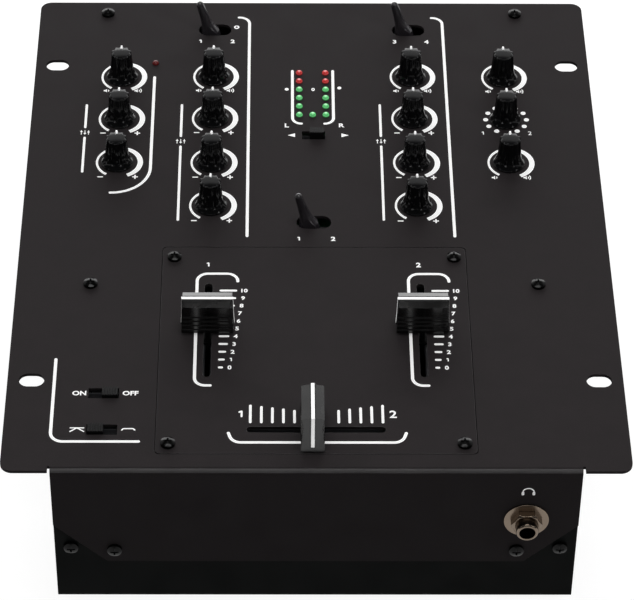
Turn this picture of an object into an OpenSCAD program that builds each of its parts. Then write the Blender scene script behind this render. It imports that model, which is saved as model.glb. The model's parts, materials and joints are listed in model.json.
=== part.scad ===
// Two-channel DJ mixer with a ten inch face plate, all sizes in millimetres.
// X runs to the right, Y to the rear and Z up. The origin lies on the ground, under the plate's middle.

/* [Enclosure] */
// Width of the face plate
plate_w = 254; // [250:1:270]
// Depth of the face plate
plate_d = 305; // [303:1:320]
// Height of the face plate's top above the ground
plate_top = 82.5; // [79:0.5:100]
// Radius of the face plate's corners
plate_corner_r = 5; // [2:0.5:8]
// Thickness of the face plate and of the fader panel
plate_t = 1.5; // [1.2:0.1:2]
// Width of the body under the plate
body_w = 214; // [210:1:218]
// Thickness of the body's sheet steel
tray_t = 1.2; // [1:0.1:1.5]
// Outer radius of the folded edges
bend_r = 2.5; // [2:0.5:3]
// Height of the folded front skirt
skirt_h = 53.5; // [48:0.5:56]
// Leg of the chamfer at each lower corner of the skirt
skirt_chamfer = 21.5; // [15:0.5:24]
// Height of the rubber feet
foot_h = 5; // [4:0.5:8]

/* [Rack slots] */
// Distance between the left and right slots
slot_span_x = 234; // [230:1:238]
// Distance between the front and rear slots
slot_span_y = 206.4; // [200:0.1:210]
// Length of a slot from end to end
slot_len = 10.5; // [9:0.5:12]
// Width of a slot
slot_wide = 7.5; // [6:0.5:8]

/* [Rotary controls] */
// Distance of the inner knob columns from the middle
inner_x = 45; // [44:1:46]
// Distance of the outer knob columns from the middle
outer_x = 87; // [85:1:88]
// Diameter of a knob's skirt
knob_d = 14.4; // [13:0.2:16]
// Diameter of a knob's top
knob_top_d = 9.3; // [8:0.1:10]
// Height of a knob's top above the plate
knob_h = 16.4; // [14:0.2:18]
// Number of finger flutes round a knob
flute_count = 10; // [7:1:10]

/* [Faders] */
// Travel of each fader
fader_travel = 45; // [45:1:45]
// Width of the fader slots
fader_slot_w = 3.4; // [3:0.1:4]
// Side of the fader panel along X
panel_w = 130; // [128:1:132]
// Side of the fader panel along Y
panel_d = 123.6; // [122:0.2:125]
// Height of a fader cap's ridge above the panel
cap_h = 16.5; // [14:0.5:18]
// Width of a fader cap across its finger grooves
cap_w = 9.7; // [9:0.1:11]

/* [Headphone socket] */
// Diameter of the plug that the sockets take
plug_d = 6.35; // [6.35:0.05:6.4]
// How far the front socket's bush stands out of the skirt
jack_reach = 7.8; // [6:0.2:9]

/* [Hidden] */
$fn = 48;
front_y = -plate_d / 2;
under_z = plate_top - plate_t;
wall_y = front_y + plate_t;              // front face of the tray's front wall
rear_y = plate_d / 2 - 2;                // outer face of the tray's rear wall
rear_in_y = rear_y - tray_t;
side_x = body_w / 2;
floor_z = foot_h + tray_t;
board_z = plate_top - 14;                // top face of the main board
board_t = 1.6;
row_outer = [97, 67, 37];
row_inner = [97.3, 67.5, 36.9, 8];
panel_y = -81;
panel_gap = 0.35;
panel_r = 2;
fader_y = -70.5;                         // middle of the channel faders' travel
cross_y = -129.3;
channel_rest = 1.65;                     // the channel caps stand this far past mid-travel
cross_rest = -1.5;
lever_y = 132;
cue_lever_y = -2.8;
lever_pivot_z = plate_top - 9;
lever_lean = 16;
lever_slot = [15.2, 8.4];
meter_x = 6;
meter_rows = [100, 94, 88, 82, 76, 70];
led_d = 3;
status_led = [-72, 107];
meter_switch = [0.3, 55.9];
reverse_switch = [-87, -108.5];
curve_switch = [-87, -129.4];
plate_screw_x = 95.3;
plate_screw_y = [143.8, -42.8];
panel_screw_x = 60;
panel_screw_y = [-25.8, -137.5];
skirt_screw_x = 82.4;
wall_screw_x = 100.3;
front_screw_z = plate_top - 46.2;
rear_screw_z = [25, 62];
screw_d = 3;
head_d = 6;
jack_x = 85.5;
jack_z = plate_top - 28.3;
bush_d = 9.2;
jack_depth = 31.5;                       // length of the bore in a quarter inch socket
flange_w = 15;
rear_board_y = 137.6;                    // face of the jack board that carries the sockets
rca_x = [-72, -46, -20, 6, 32];
rca_z = [26, 42];
rca_tip_y = plate_d / 2 + jack_reach;     // as far to the rear as the front socket to the front
mic_x = 58;
mic_z = 38;
phono_x = [-59, -7];
phono_z = 56;
power_x = 82;
power_z = 52;
inlet_x = 82;
inlet_z = 28;
ground_x = -84;
ground_z = 46;

KNOBS = [
    ["mic_level_knob", -outer_x, row_outer[0]],
    ["mic_high_knob", -outer_x, row_outer[1]],
    ["mic_low_knob", -outer_x, row_outer[2]],
    ["ch1_gain_knob", -inner_x, row_inner[0]],
    ["ch1_high_knob", -inner_x, row_inner[1]],
    ["ch1_mid_knob", -inner_x, row_inner[2]],
    ["ch1_low_knob", -inner_x, row_inner[3]],
    ["ch2_gain_knob", inner_x, row_inner[0]],
    ["ch2_high_knob", inner_x, row_inner[1]],
    ["ch2_mid_knob", inner_x, row_inner[2]],
    ["ch2_low_knob", inner_x, row_inner[3]],
    ["master_knob", outer_x, row_outer[0]],
    ["cue_mix_knob", outer_x, row_outer[1]],
    ["cue_level_knob", outer_x, row_outer[2]]
];
LEVERS = [
    ["ch1_source_lever", -inner_x, lever_y],
    ["ch2_source_lever", inner_x, lever_y],
    ["cue_source_lever", 0, cue_lever_y]
];
FADERS = [
    ["ch1_fader", -inner_x, fader_y, 90, channel_rest],
    ["ch2_fader", inner_x, fader_y, 90, channel_rest],
    ["crossfader", 0, cross_y, 0, cross_rest]
];
SLIDERS = [
    ["meter_slider", meter_switch, 3.4, 1],
    ["reverse_slider", reverse_switch, 1.6, 1],
    ["curve_slider", curve_switch, 1.6, -1]
];

// ---------- shared outlines and fasteners ----------

// A true rounded rectangle round the origin.
module rounded_rect(w, d, r) {
    square([w - 2 * r, d], center = true);
    square([w, d - 2 * r], center = true);
    for (x = [-1, 1], y = [-1, 1])
        translate([x * (w / 2 - r), y * (d / 2 - r)])
            circle(r);
}

// A slot with round ends that runs along X.
module stadium(len, wide) {
    square([len - wide, wide], center = true);
    for (x = [-1, 1])
        translate([x * (len - wide) / 2, 0])
            circle(wide / 2);
}

// A sheet folded once: the leg along +Y is run_y long and the leg down is run_z long.
module folded_profile(run_y, run_z, t, r) {
    translate([r, 0])
        square([run_y - r, t]);
    translate([0, t - run_z])
        square([t, run_z - r]);
    translate([r, t - r])
        intersection() {
            difference() {
                circle(r);
                circle(r - t);
            }
            translate([-r, 0])
                square(r);
        }
}

// A pan-head screw with a cross recess. Its head sits on z = 0 and its shank points down.
module pan_screw(len) {
    head_h = 2.1;
    difference() {
        rotate_extrude()
            intersection() {
                square([head_d / 2, head_h]);
                translate([0, head_h - head_d])
                    circle(head_d, $fn = 96);
            }
        for (a = [0, 90])
            rotate(a)
                translate([-1.7, -0.35, head_h - 1.1])
                    cube([3.4, 0.7, 2]);
    }
    translate([0, 0, -len])
        cylinder(d = screw_d - 0.1, h = len);
}

// Screws at every crossing of the x and y positions, standing on height z.
module screw_grid(xs, ys, z, len) {
    for (x = xs, y = ys)
        translate([x, y, z])
            pan_screw(len);
}

// A six-sided part with a round hole.
module hex_ring(across, bore, h) {
    difference() {
        cylinder(d = across / cos(30), h = h, $fn = 6);
        translate([0, 0, -1])
            cylinder(d = bore, h = h + 2);
    }
}

// Puts a shape that faces up onto the front skirt or the rear wall.
module on_front(x, z, y) {
    translate([x, y, z])
        rotate([90, 0, 0])
            children();
}
module on_rear(x, z, y) {
    translate([x, y, z])
        rotate([-90, 0, 0])
            children();
}

// ---------- enclosure ----------

// All holes that pass down through the plate outside the fader panel.
module plate_holes() {
    for (x = [-1, 1], y = [-1, 1])
        translate([x * slot_span_x / 2, 2.4 + y * slot_span_y / 2])
            stadium(slot_len, slot_wide);
    for (x = [-1, 1], y = plate_screw_y)
        translate([x * plate_screw_x, y])
            circle(d = screw_d + 0.3);
    for (k = KNOBS)
        translate([k[1], k[2]])
            circle(d = 7.6);
    for (l = LEVERS)
        translate([l[1], l[2]])
            stadium(lever_slot[0], lever_slot[1]);
    for (s = [-1, 1], y = meter_rows)
        translate([s * meter_x, y])
            circle(d = led_d + 0.2);
    for (p = [[0, meter_rows[5]], status_led])
        translate(p)
            circle(d = led_d + 0.2);
    translate(meter_switch)
        square([10.4, 5.6], center = true);
    for (p = [reverse_switch, curve_switch])
        translate(p)
            square([12.6, 5.8], center = true);
}

// The top sheet with its wings, the folded front skirt and the frame that holds the fader panel.
module face_plate() {
    color([0.19, 0.18, 0.185])
        union() {
            translate([0, 0, under_z])
                linear_extrude(plate_t)
                    difference() {
                        rounded_rect(plate_w, plate_d, plate_corner_r);
                        translate([-side_x - 1, front_y - 1])
                            square([body_w + 2, bend_r + 1]);
                        translate([0, panel_y])
                            rounded_rect(panel_w + 2 * panel_gap, panel_d + 2 * panel_gap, panel_r);
                        plate_holes();
                    }
            front_skirt();
            panel_frame();
        }
}

// The skirt: bent down from the plate and cut back at its lower corners.
module front_skirt() {
    tip_z = plate_top - skirt_h;
    difference() {
        intersection() {
            translate([-side_x, front_y, under_z])
                rotate([90, 0, 90])
                    linear_extrude(body_w)
                        folded_profile(bend_r + 0.01, skirt_h, plate_t, bend_r);
            on_front(0, 0, front_y + 2 * bend_r)
                linear_extrude(4 * bend_r)
                    polygon([
                        [-side_x, plate_top + 1],
                        [side_x, plate_top + 1],
                        [side_x, tip_z + skirt_chamfer],
                        [side_x - skirt_chamfer, tip_z],
                        [-side_x + skirt_chamfer, tip_z],
                        [-side_x, tip_z + skirt_chamfer]
                    ]);
        }
        on_front(jack_x, jack_z, front_y + 5)
            cylinder(d = bush_d + 0.3, h = 10);
        for (x = [-1, 1])
            on_front(x * skirt_screw_x, front_screw_z, front_y + 5)
                cylinder(d = screw_d + 0.3, h = 10);
    }
}

// The frame welded under the plate: the fader panel lies in the opening on top of it.
module panel_frame() {
    translate([0, panel_y, under_z - tray_t])
        linear_extrude(tray_t)
            difference() {
                rounded_rect(panel_w + 8, panel_d + 8, panel_r);
                rounded_rect(panel_w - 16, panel_d - 16, panel_r);
                for (x = [-1, 1], y = panel_screw_y)
                    translate([x * panel_screw_x, y - panel_y])
                        circle(d = screw_d);
            }
}

// The removable panel that carries the three faders on welded studs.
module fader_panel() {
    color([0.19, 0.18, 0.185])
        union() {
            translate([0, 0, under_z])
                linear_extrude(plate_t)
                    difference() {
                        translate([0, panel_y])
                            rounded_rect(panel_w, panel_d, panel_r);
                        for (f = FADERS)
                            translate([f[1], f[2]])
                                rotate(f[3])
                                    stadium(fader_travel + 11.7, fader_slot_w);
                        for (x = [-1, 1], y = panel_screw_y)
                            translate([x * panel_screw_x, y])
                                circle(d = screw_d + 0.3);
                    }
            for (f = FADERS)
                fader_ears(f)
                    translate([0, 0, under_z - 5])
                        cylinder(d = 2.9, h = 5.01);
        }
}

// The tray: floor, front wall and rear wall folded from one sheet.
module base_tray() {
    front_top = plate_top - bend_r - 1;
    color([0.07, 0.07, 0.075])
        difference() {
            translate([-side_x, 0, 0])
                rotate([90, 0, 90])
                    linear_extrude(body_w)
                        tray_profile(front_top);
            on_front(jack_x, jack_z, wall_y + 5)
                cylinder(d = bush_d + 0.3, h = 10);
            for (x = [-skirt_screw_x, skirt_screw_x, -wall_screw_x, wall_screw_x])
                on_front(x, front_screw_z, wall_y + 5)
                    cylinder(d = screw_d, h = 10);
            rear_cutouts();
            for (x = [-1, 1], y = [-1, 1])
                translate([x * 88, y * 128, 0])
                    cylinder(d = 6, h = 20);
        }
}

// Side view of the tray, with round folds at both lower edges.
module tray_profile(front_top) {
    difference() {
        union() {
            translate([wall_y, foot_h + bend_r])
                square([rear_y - wall_y, under_z - foot_h - bend_r]);
            translate([wall_y + bend_r, foot_h])
                square([rear_y - wall_y - 2 * bend_r, bend_r]);
            for (y = [wall_y + bend_r, rear_y - bend_r])
                translate([y, foot_h + bend_r])
                    circle(bend_r);
        }
        translate([wall_y + tray_t, floor_z + bend_r - tray_t])
            square([rear_in_y - wall_y - tray_t, 200]);
        translate([wall_y + bend_r, floor_z])
            square([rear_y - wall_y - 2 * bend_r, 200]);
        for (y = [wall_y + bend_r, rear_y - bend_r])
            translate([y, foot_h + bend_r])
                circle(bend_r - tray_t);
        translate([wall_y - 1, front_top])
            square([10, 100]);
    }
}

// Holes in the rear wall for the sockets, switches and screws.
module rear_cutouts() {
    depth = 10;
    y = rear_y - 5;
    for (x = rca_x, z = rca_z)
        on_rear(x, z, y)
            cylinder(d = 8.6, h = depth);
    on_rear(mic_x, mic_z, y)
        cylinder(d = bush_d + 0.3, h = depth);
    for (x = phono_x)
        translate([x - 4.5, y, phono_z - 2.2])
            cube([9, depth, 4.4]);
    translate([power_x - 9.6, y, power_z - 6.6])
        cube([19.2, depth, 13.2]);
    on_rear(inlet_x, inlet_z, y)
        cylinder(d = 11.2, h = depth);
    on_rear(ground_x, ground_z, y)
        cylinder(d = 4.1, h = depth);
    for (x = [-1, 1], z = rear_screw_z)
        on_rear(x * wall_screw_x, z, y)
            cylinder(d = screw_d + 0.3, h = depth);
}

// A side panel with flanges on its four edges. s is -1 on the left and 1 on the right.
// Its lower corners are relieved for the tray's folds, and the left one clears two switches.
module side_panel(s) {
    fold_relief = 2.4;
    y0 = wall_y + tray_t;
    len = rear_in_y - y0;
    tall = under_z - floor_z;
    color([0.07, 0.07, 0.075])
        difference() {
            scale([s, 1, 1])
                translate([side_x, y0, floor_z])
                    union() {
                        rotate([90, 0, 180])
                            linear_extrude(len)
                                side_profile(tall);
                        for (y = [0, len - tray_t])
                            translate([-14, y, tray_t + 2])
                                cube([14 - tray_t / 2, tray_t, tall - 2 * tray_t - 4]);
                    }
            for (y = plate_screw_y)
                translate([s * plate_screw_x, y, under_z - 5])
                    cylinder(d = screw_d, h = 10);
            on_front(s * wall_screw_x, front_screw_z, y0 + 5)
                cylinder(d = screw_d, h = 10);
            for (z = rear_screw_z)
                on_rear(s * wall_screw_x, z, rear_in_y - 5)
                    cylinder(d = screw_d, h = 10);
            for (y = [y0 - 1, rear_in_y + 1 - fold_relief])
                translate([s * side_x - 20, y, floor_z - 1])
                    cube([40, fold_relief, fold_relief]);
            if (s < 0)
                for (at = [reverse_switch, curve_switch])
                    translate([at[0] - 6.4, at[1] - 3, under_z - 3])
                        cube([10, 6, 5]);
        }
}

// End view of a side panel: the web on the left, with a flange at the top and at the bottom.
module side_profile(tall) {
    difference() {
        union() {
            translate([0, bend_r])
                square([flange_w, tall - 2 * bend_r]);
            translate([bend_r, 0])
                square([flange_w - bend_r, tall]);
            for (z = [bend_r, tall - bend_r])
                translate([bend_r, z])
                    circle(bend_r);
        }
        translate([tray_t, bend_r])
            square([flange_w, tall - 2 * bend_r]);
        translate([bend_r, tray_t])
            square([flange_w, tall - 2 * tray_t]);
        for (z = [bend_r, tall - bend_r])
            translate([bend_r, z])
                circle(bend_r - tray_t);
    }
}

// Four tapered rubber feet, each pushed into the floor by its own plug.
module feet() {
    color([0.05, 0.05, 0.05])
        for (x = [-1, 1], y = [-1, 1])
            translate([x * 88, y * 128, 0])
                difference() {
                    rotate_extrude()
                        polygon([
                            [0, 0], [8.2, 0], [8.8, 0.6], [10, foot_h], [2.95, foot_h],
                            [2.95, floor_z], [3.3, floor_z], [2.4, floor_z + 2], [0, floor_z + 2]
                        ]);
                    translate([0, 0, -1])
                        cylinder(d = 7, h = 2.5);
                }
}

// ---------- boards and spacers ----------

spacer_at = [
    [-68, 138], [68, 138], [0, 138], [-68, 52], [68, 52], [-66, -8], [66, -8], [-74, -100]
];

// The L-shaped board that carries the rotary controls, switches and lamps.
module main_board() {
    color([0.1, 0.32, 0.16])
        translate([0, 0, board_z - board_t])
            linear_extrude(board_t)
                difference() {
                    polygon([
                        [-98, 146], [98, 146], [98, -14], [-70, -14], [-70, -142], [-98, -142]
                    ]);
                    for (p = spacer_at)
                        translate(p)
                            circle(d = 3.2);
                }
}

// The upright board behind the rear wall, with a notch that the microphone socket passes through.
module jack_board() {
    bottom = 13;
    top = phono_z + 6;
    color([0.1, 0.32, 0.16])
        on_rear(0, 0, rear_board_y - board_t)
            linear_extrude(board_t)
                difference() {
                    translate([-82, -top])
                        square([180, top - bottom]);
                    translate([mic_x - 7.5, -mic_z - 9.5])
                        square([15, mic_z]);
                }
}

// Six-sided spacers between the plate and the main board.
module board_spacers() {
    color([0.75, 0.7, 0.5])
        for (p = spacer_at)
            translate([p[0], p[1], board_z])
                hex_ring(5.5, 2.6, under_z - board_z);
}

// ---------- rotary controls ----------

// Half outline of a knob: a slender neck that flares to a round lip, under a slightly domed top.
module knob_outline() {
    lift = 1;
    lip = 1;
    top_r = knob_top_d / 2;
    neck_r = top_r + 0.3;
    neck_z = 7.5;
    spread = knob_d / 2 - 0.15 - neck_r;
    flare_r = (pow(neck_z - lift - lip, 2) + spread * spread) / (2 * spread);
    intersection() {
        difference() {
            union() {
                translate([0, lift])
                    square([knob_d / 2 - lip, lip]);
                translate([knob_d / 2 - lip, lift + lip])
                    circle(lip);
                polygon([
                    [0, lift + lip], [knob_d / 2, lift + lip], [knob_d / 2, neck_z],
                    [neck_r, neck_z], [top_r, knob_h + 1], [0, knob_h + 1]
                ]);
            }
            translate([neck_r + flare_r, neck_z])
                circle(flare_r, $fn = 240);
            square([3.6, lift + 1.6]);
        }
        translate([0, knob_h - 40])
            circle(40, $fn = 240);
    }
}

// One finger flute: a leaning groove whose lower end is a short scoop above the lip.
module knob_flute() {
    groove_r = 1.15;
    lean = 2;
    foot_z = 2.7;
    translate([knob_top_d / 2 + 0.98, 0, foot_z])
        rotate([0, -lean, 0])
            rotate_extrude()
                polygon([
                    [0, 0], [groove_r * 0.6, 0.35], [groove_r, 1.3], [groove_r, knob_h], [0, knob_h]
                ]);
}

// A fluted knob on its own shaft, at rest with the pointer to the rear.
module knob(x, y) {
    color([0.04, 0.04, 0.045])
        translate([x, y, plate_top])
            union() {
                difference() {
                    rotate_extrude()
                        knob_outline();
                    for (i = [0 : flute_count - 1])
                        rotate(90 + (i + 0.5) * 360 / flute_count)
                            knob_flute();
                    translate([0, 0, -1])
                        cylinder(r = 3.03, h = 12);
                }
                pointer_rib();
            }
    color("silver")
        translate([x, y, 0])
            difference() {
                translate([0, 0, board_z + 4])
                    cylinder(r = 3, h = plate_top - board_z + 6);
                translate([1.5, -4, plate_top + 2])
                    cube([4, 8, 10]);
            }
}

// The raised rib that points to the scale.
module pointer_rib() {
    translate([-0.5, 1.6, knob_h - 1.4])
        cube([1, knob_top_d / 2 - 1.2, 1.75]);
}

// The bodies that the knob shafts turn in.
module potentiometers() {
    color([0.35, 0.36, 0.38])
        for (k = KNOBS)
            translate([k[1], k[2], board_z])
                difference() {
                    union() {
                        linear_extrude(6.8)
                            polygon([
                                [-4.9, -7.2], [4.9, -7.2], [4.9, 3.6], [3.6, 4.9],
                                [-3.6, 4.9], [-4.9, 3.6]
                            ]);
                        cylinder(d = 7, h = 9.5);
                    }
                    translate([0, 0, 3.7])
                        cylinder(r = 3.06, h = 10);
                }
}

// ---------- levers and slide switches ----------

// The bodies that hold the lever pins.
module lever_switches() {
    color([0.16, 0.16, 0.17])
        for (l = LEVERS)
            translate([l[1], l[2], lever_pivot_z])
                difference() {
                    translate([-6.5, -4, board_z - lever_pivot_z])
                        cube([13, 8, lever_pivot_z - board_z + 2.8]);
                    translate([-4.2, -2.4, -3])
                        cube([8.4, 4.8, 10]);
                    rotate([90, 0, 0])
                        cylinder(r = 1.05, h = 7, center = true);
                }
}

// A lever seen from the front: a bell on a neck, with a round tip, flattened front and rear.
module lever(x, y) {
    color([0.05, 0.05, 0.055])
        translate([x, y, lever_pivot_z])
            union() {
                rotate([0, -lever_lean, 0]) {
                    difference() {
                        rotate_extrude()
                            lever_outline();
                        for (s = [-1, 1])
                            lever_flat(s);
                    }
                    translate([-1.3, -1.8, 0])
                        cube([2.6, 3.6, 6]);
                    rotate([90, 0, 0])
                        cylinder(r = 1.8, h = 3.6, center = true);
                }
                rotate([90, 0, 0])
                    cylinder(r = 1, h = 6.8, center = true);
            }
}

// Takes the front (s = -1) or rear (s = 1) of the lever down to a leaning flat.
module lever_flat(s) {
    translate([-10, s * 3.3, 5])
        rotate([s * 4.6, 0, 0])
            translate([0, s > 0 ? 0 : -10, -2])
                cube([20, 10, 30]);
}

// Half outline of the lever, measured along its own axis from the pivot.
module lever_outline() {
    base = 5.4;
    tip = 26.3;
    tip_r = 1.65;
    polygon([
        [0, base], [4.3, base], [4.3, base + 3.2], [3.7, base + 4.6], [3.05, base + 6.4],
        [2.55, base + 8.6], [2.2, base + 11.2], [1.95, base + 14.6], [tip_r, tip - tip_r],
        [0, tip - tip_r]
    ]);
    intersection() {
        translate([0, tip - tip_r])
            circle(tip_r);
        translate([0, tip - tip_r])
            square(tip_r);
    }
}

// The bodies under the slide switches: three on the main board and two on the jack board.
module slide_switches() {
    color([0.5, 0.51, 0.53])
        union() {
            for (s = SLIDERS)
                translate([s[1][0], s[1][1], board_z])
                    slide_body(under_z - board_z - 1.2);
            for (x = phono_x)
                on_rear(x, phono_z, rear_board_y)
                    slide_body(rear_in_y - rear_board_y - 0.2);
        }
}

// A pressed box with a channel for the slider.
module slide_body(h) {
    difference() {
        translate([-7.6, -3.9, 0])
            cube([15.2, 7.8, h]);
        translate([-6.4, -2.6, h - 4.2])
            cube([12.8, 5.2, 10]);
    }
}

// A slider with grip ribs. It slides along X, and side says which end it rests at.
module slider(at, rise, side) {
    grip_w = 6.4;
    half = rise > 2 ? 4.7 : 5.8;
    x = side * (half - grip_w / 2);
    color([0.05, 0.05, 0.055])
        translate([at[0] + x, at[1], 0])
            grip(grip_w, under_z - 5, plate_top + rise, rise > 2 ? 3.6 : 4.6);
}

// A slider's block with ribs across its top.
module grip(w, z0, z1, d) {
    ribs = 6;
    pitch = w / ribs;
    rotate([90, 0, 0])
        linear_extrude(d, center = true)
            union() {
                translate([-w / 2, z0])
                    square([w, z1 - z0 - 0.5]);
                for (i = [0 : ribs - 1])
                    translate([-w / 2 + (i + 0.2) * pitch, z0])
                        square([pitch * 0.6, z1 - z0]);
            }
}

// ---------- faders ----------

track_len = 69;
track_h = 9;
track_w = 9;
track_t = 0.8;
rod_r = 1;
rod_drop = 5.4;

// Repeats its children at the two ears of a fader.
module fader_ears(f) {
    for (e = [-1, 1])
        translate([f[1], f[2], 0])
            rotate(f[3])
                translate([e * (track_len / 2 + 3), 0, 0])
                    children();
}

// A folded steel channel with an ear at each end, end cheeks and two polished guide rods.
module fader_track(f) {
    color([0.62, 0.63, 0.65])
        translate([f[1], f[2], under_z])
            rotate(f[3]) {
                difference() {
                    union() {
                        translate([0, 0, -track_h])
                            linear_extrude(track_h)
                                square([track_len, track_w], center = true);
                        translate([0, 0, -track_t])
                            linear_extrude(track_t)
                                stadium(track_len + 12, 6);
                    }
                    translate([0, 0, -track_h / 2 - 0.4])
                        cube([track_len - 2 * track_t, track_w - 2 * track_t, track_h - 0.8],
                            center = true);
                    translate([0, 0, -2])
                        linear_extrude(4)
                            stadium(fader_travel + 12.5, 4.2);
                    for (e = [-1, 1])
                        translate([e * (track_len / 2 + 3), 0, -2])
                            cylinder(d = 3.2, h = 4);
                }
                for (s = [-1, 1])
                    translate([0, s * 2, -rod_drop])
                        rotate([0, 90, 0])
                            cylinder(r = rod_r, h = track_len - 2 * track_t, center = true);
            }
}

// The carriage that runs on both rods and carries the lever up through the slot.
module fader_carriage(f) {
    color([0.9, 0.9, 0.86])
        translate([f[1], f[2], under_z])
            rotate(f[3])
                translate([f[4], 0, 0])
                    difference() {
                        union() {
                            translate([-4.5, -3.2, -rod_drop - 1.9])
                                cube([9, 6.4, 3.8]);
                            translate([-2.5, -1, -rod_drop + 1])
                                cube([5, 2, rod_drop + plate_t + 8]);
                        }
                        for (s = [-1, 1])
                            translate([0, s * 2, -rod_drop])
                                rotate([0, 90, 0])
                                    cylinder(r = rod_r + 0.06, h = 20, center = true);
                    }
}

// Nuts that hold the tracks on the panel's studs.
module fader_nuts() {
    color("silver")
        for (f = FADERS)
            fader_ears(f)
                translate([0, 0, under_z - track_t - 2.4])
                    rotate(30)
                        hex_ring(5.5, 3, 2.4);
}

// Cross-section of a fader cap over its width: a shallow roof, a waist and four finger steps.
module cap_section(h) {
    half = cap_w / 2;
    eave = half - 0.2;
    waist = half - 1;
    step = h / 7.4;
    steps = [for (i = [0 : 3]) each [
        [half - i * 0.22 - 0.35, (i + 1) * step],
        [half - i * 0.22, (i + 0.75) * step],
        [half - i * 0.22, i * step + (i == 0 ? 0 : 0.3)]
    ]];
    right = concat([[0, h - 0.15], [eave, h - 1.15], [eave - 0.25, h - 2.2], [waist, h * 0.68]],
        [for (i = [3 : -1 : 0]) each [steps[3 * i], steps[3 * i + 1], steps[3 * i + 2]]]);
    left = [for (i = [len(right) - 1 : -1 : 1]) [-right[i][0], right[i][1]]];
    polygon(concat(right, left));
}

// A fader cap along X. foot is how much longer each end is at the bottom than at the top.
module fader_cap(f, top_len, foot) {
    h = cap_h - 1;
    end = [
        [-top_len / 2, h + 1], [top_len / 2, h + 1], [top_len / 2, h - 1.2],
        [top_len / 2 + foot * 0.35, h * 0.45], [top_len / 2 + foot, 0],
        [-top_len / 2 - foot, 0], [-top_len / 2 - foot * 0.35, h * 0.45], [-top_len / 2, h - 1.2]
    ];
    color([0.06, 0.06, 0.065])
        translate([f[1], f[2], plate_top + 1])
            rotate(f[3])
                translate([f[4], 0, 0])
                    rotate(90)
                        difference() {
                            union() {
                                intersection() {
                                    rotate([90, 0, 90])
                                        linear_extrude(60, center = true)
                                            cap_section(h);
                                    rotate([90, 0, 0])
                                        linear_extrude(40, center = true)
                                            polygon(end);
                                }
                                cap_band(h, top_len, foot);
                            }
                            translate([-1, -2.5, -1])
                                cube([2, 5, 9]);
                        }
}

// The raised band over the ridge and down both ends.
module cap_band(h, top_len, foot) {
    proud = 0.3;
    half = top_len / 2 + proud;
    rotate([90, 0, 0])
        linear_extrude(2.6, center = true)
            polygon([
                [-half, h], [half, h], [half, h - 1.2], [half + foot * 0.35, h * 0.45],
                [half + foot * 0.8, h * 0.12], [-half - foot * 0.8, h * 0.12],
                [-half - foot * 0.35, h * 0.45], [-half, h - 1.2]
            ]);
}

// ---------- lamps ----------

// A round lamp whose flange lies under the plate, standing on two legs.
module led(p) {
    flange_top = under_z - 0.1;
    flange_h = 0.8;
    dome_z = plate_top + 0.3;
    translate([p[0], p[1], 0]) {
        rotate_extrude()
            union() {
                translate([0, flange_top - flange_h])
                    square([1.8, flange_h]);
                translate([0, flange_top - flange_h])
                    square([led_d / 2, dome_z - flange_top + flange_h]);
                intersection() {
                    translate([0, dome_z])
                        circle(led_d / 2);
                    translate([0, dome_z])
                        square(led_d);
                }
            }
        for (s = [-1, 1])
            translate([s * 0.8 - 0.25, -0.25, board_z])
                cube([0.5, 0.5, flange_top - board_z - 0.5]);
    }
}

// The four top lamps of the meter and the lamp beside the microphone level.
module red_leds() {
    color([0.8, 0.15, 0.15])
        union() {
            for (s = [-1, 1], i = [0, 1])
                led([s * meter_x, meter_rows[i]]);
            led(status_led);
        }
}

// The eight lower lamps of the meter and the one in its middle.
module green_leds() {
    color([0.35, 0.8, 0.45])
        union() {
            for (s = [-1, 1], i = [2 : 5])
                led([s * meter_x, meter_rows[i]]);
            led([0, meter_rows[5]]);
        }
}

// ---------- sockets ----------

// A quarter inch socket: its mouth is at the end of a bush of the given reach from z = 0.
module quarter_inch_jack(reach) {
    depth = jack_depth + 1 - reach;
    difference() {
        union() {
            translate([-7, -9, -depth])
                cube([14, 18, depth]);
            cylinder(d = bush_d, h = reach - 0.6);
            translate([0, 0, reach - 0.6])
                cylinder(d1 = bush_d, d2 = bush_d - 1, h = 0.6);
        }
        translate([0, 0, -depth + 1])
            cylinder(d = plug_d + 0.15, h = depth + reach + 1);
    }
}

module headphone_jack() {
    color([0.72, 0.7, 0.66])
        on_front(jack_x, jack_z, wall_y + tray_t)
            quarter_inch_jack(jack_reach + plate_t + tray_t);
}

module mic_jack() {
    color([0.3, 0.3, 0.32])
        on_rear(mic_x, mic_z, rear_in_y)
            quarter_inch_jack(tray_t + 6);
}

// Flat washers under the nuts of both quarter inch sockets.
module jack_washers() {
    color([0.75, 0.72, 0.66])
        union() {
            on_front(jack_x, jack_z, front_y)
                flat_washer(18.4, 0.8);
            on_rear(mic_x, mic_z, rear_y)
                flat_washer(14, 0.6);
        }
}

module flat_washer(d, h) {
    difference() {
        cylinder(d = d, h = h);
        translate([0, 0, -1])
            cylinder(d = bush_d + 0.2, h = h + 2);
    }
}

// Six-sided nuts with chamfered corners.
module jack_nuts() {
    color([0.78, 0.76, 0.7])
        union() {
            on_front(jack_x, jack_z, front_y - 0.8)
                chamfered_nut(11.2, 3);
            on_rear(mic_x, mic_z, rear_y + 0.6)
                chamfered_nut(11.2, 2.4);
        }
}

module chamfered_nut(across, h) {
    corner = across / cos(30);
    intersection() {
        hex_ring(across, bush_d + 0.1, h);
        rotate_extrude()
            polygon([
                [0, 0], [corner / 2, 0], [corner / 2, h - 0.7], [across / 2 - 0.1, h], [0, h]
            ]);
    }
}

// Moulded bodies of the phono sockets, one for each pair.
module rca_blocks() {
    color([0.08, 0.08, 0.09])
        for (x = rca_x)
            difference() {
                translate([x - 5.5, rear_board_y, rca_z[0] - 6])
                    cube([11, rear_in_y - rear_board_y, rca_z[1] - rca_z[0] + 12]);
                for (z = rca_z)
                    on_rear(x, z, rear_board_y + 4)
                        cylinder(d = 8.4, h = 20);
            }
}

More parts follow.
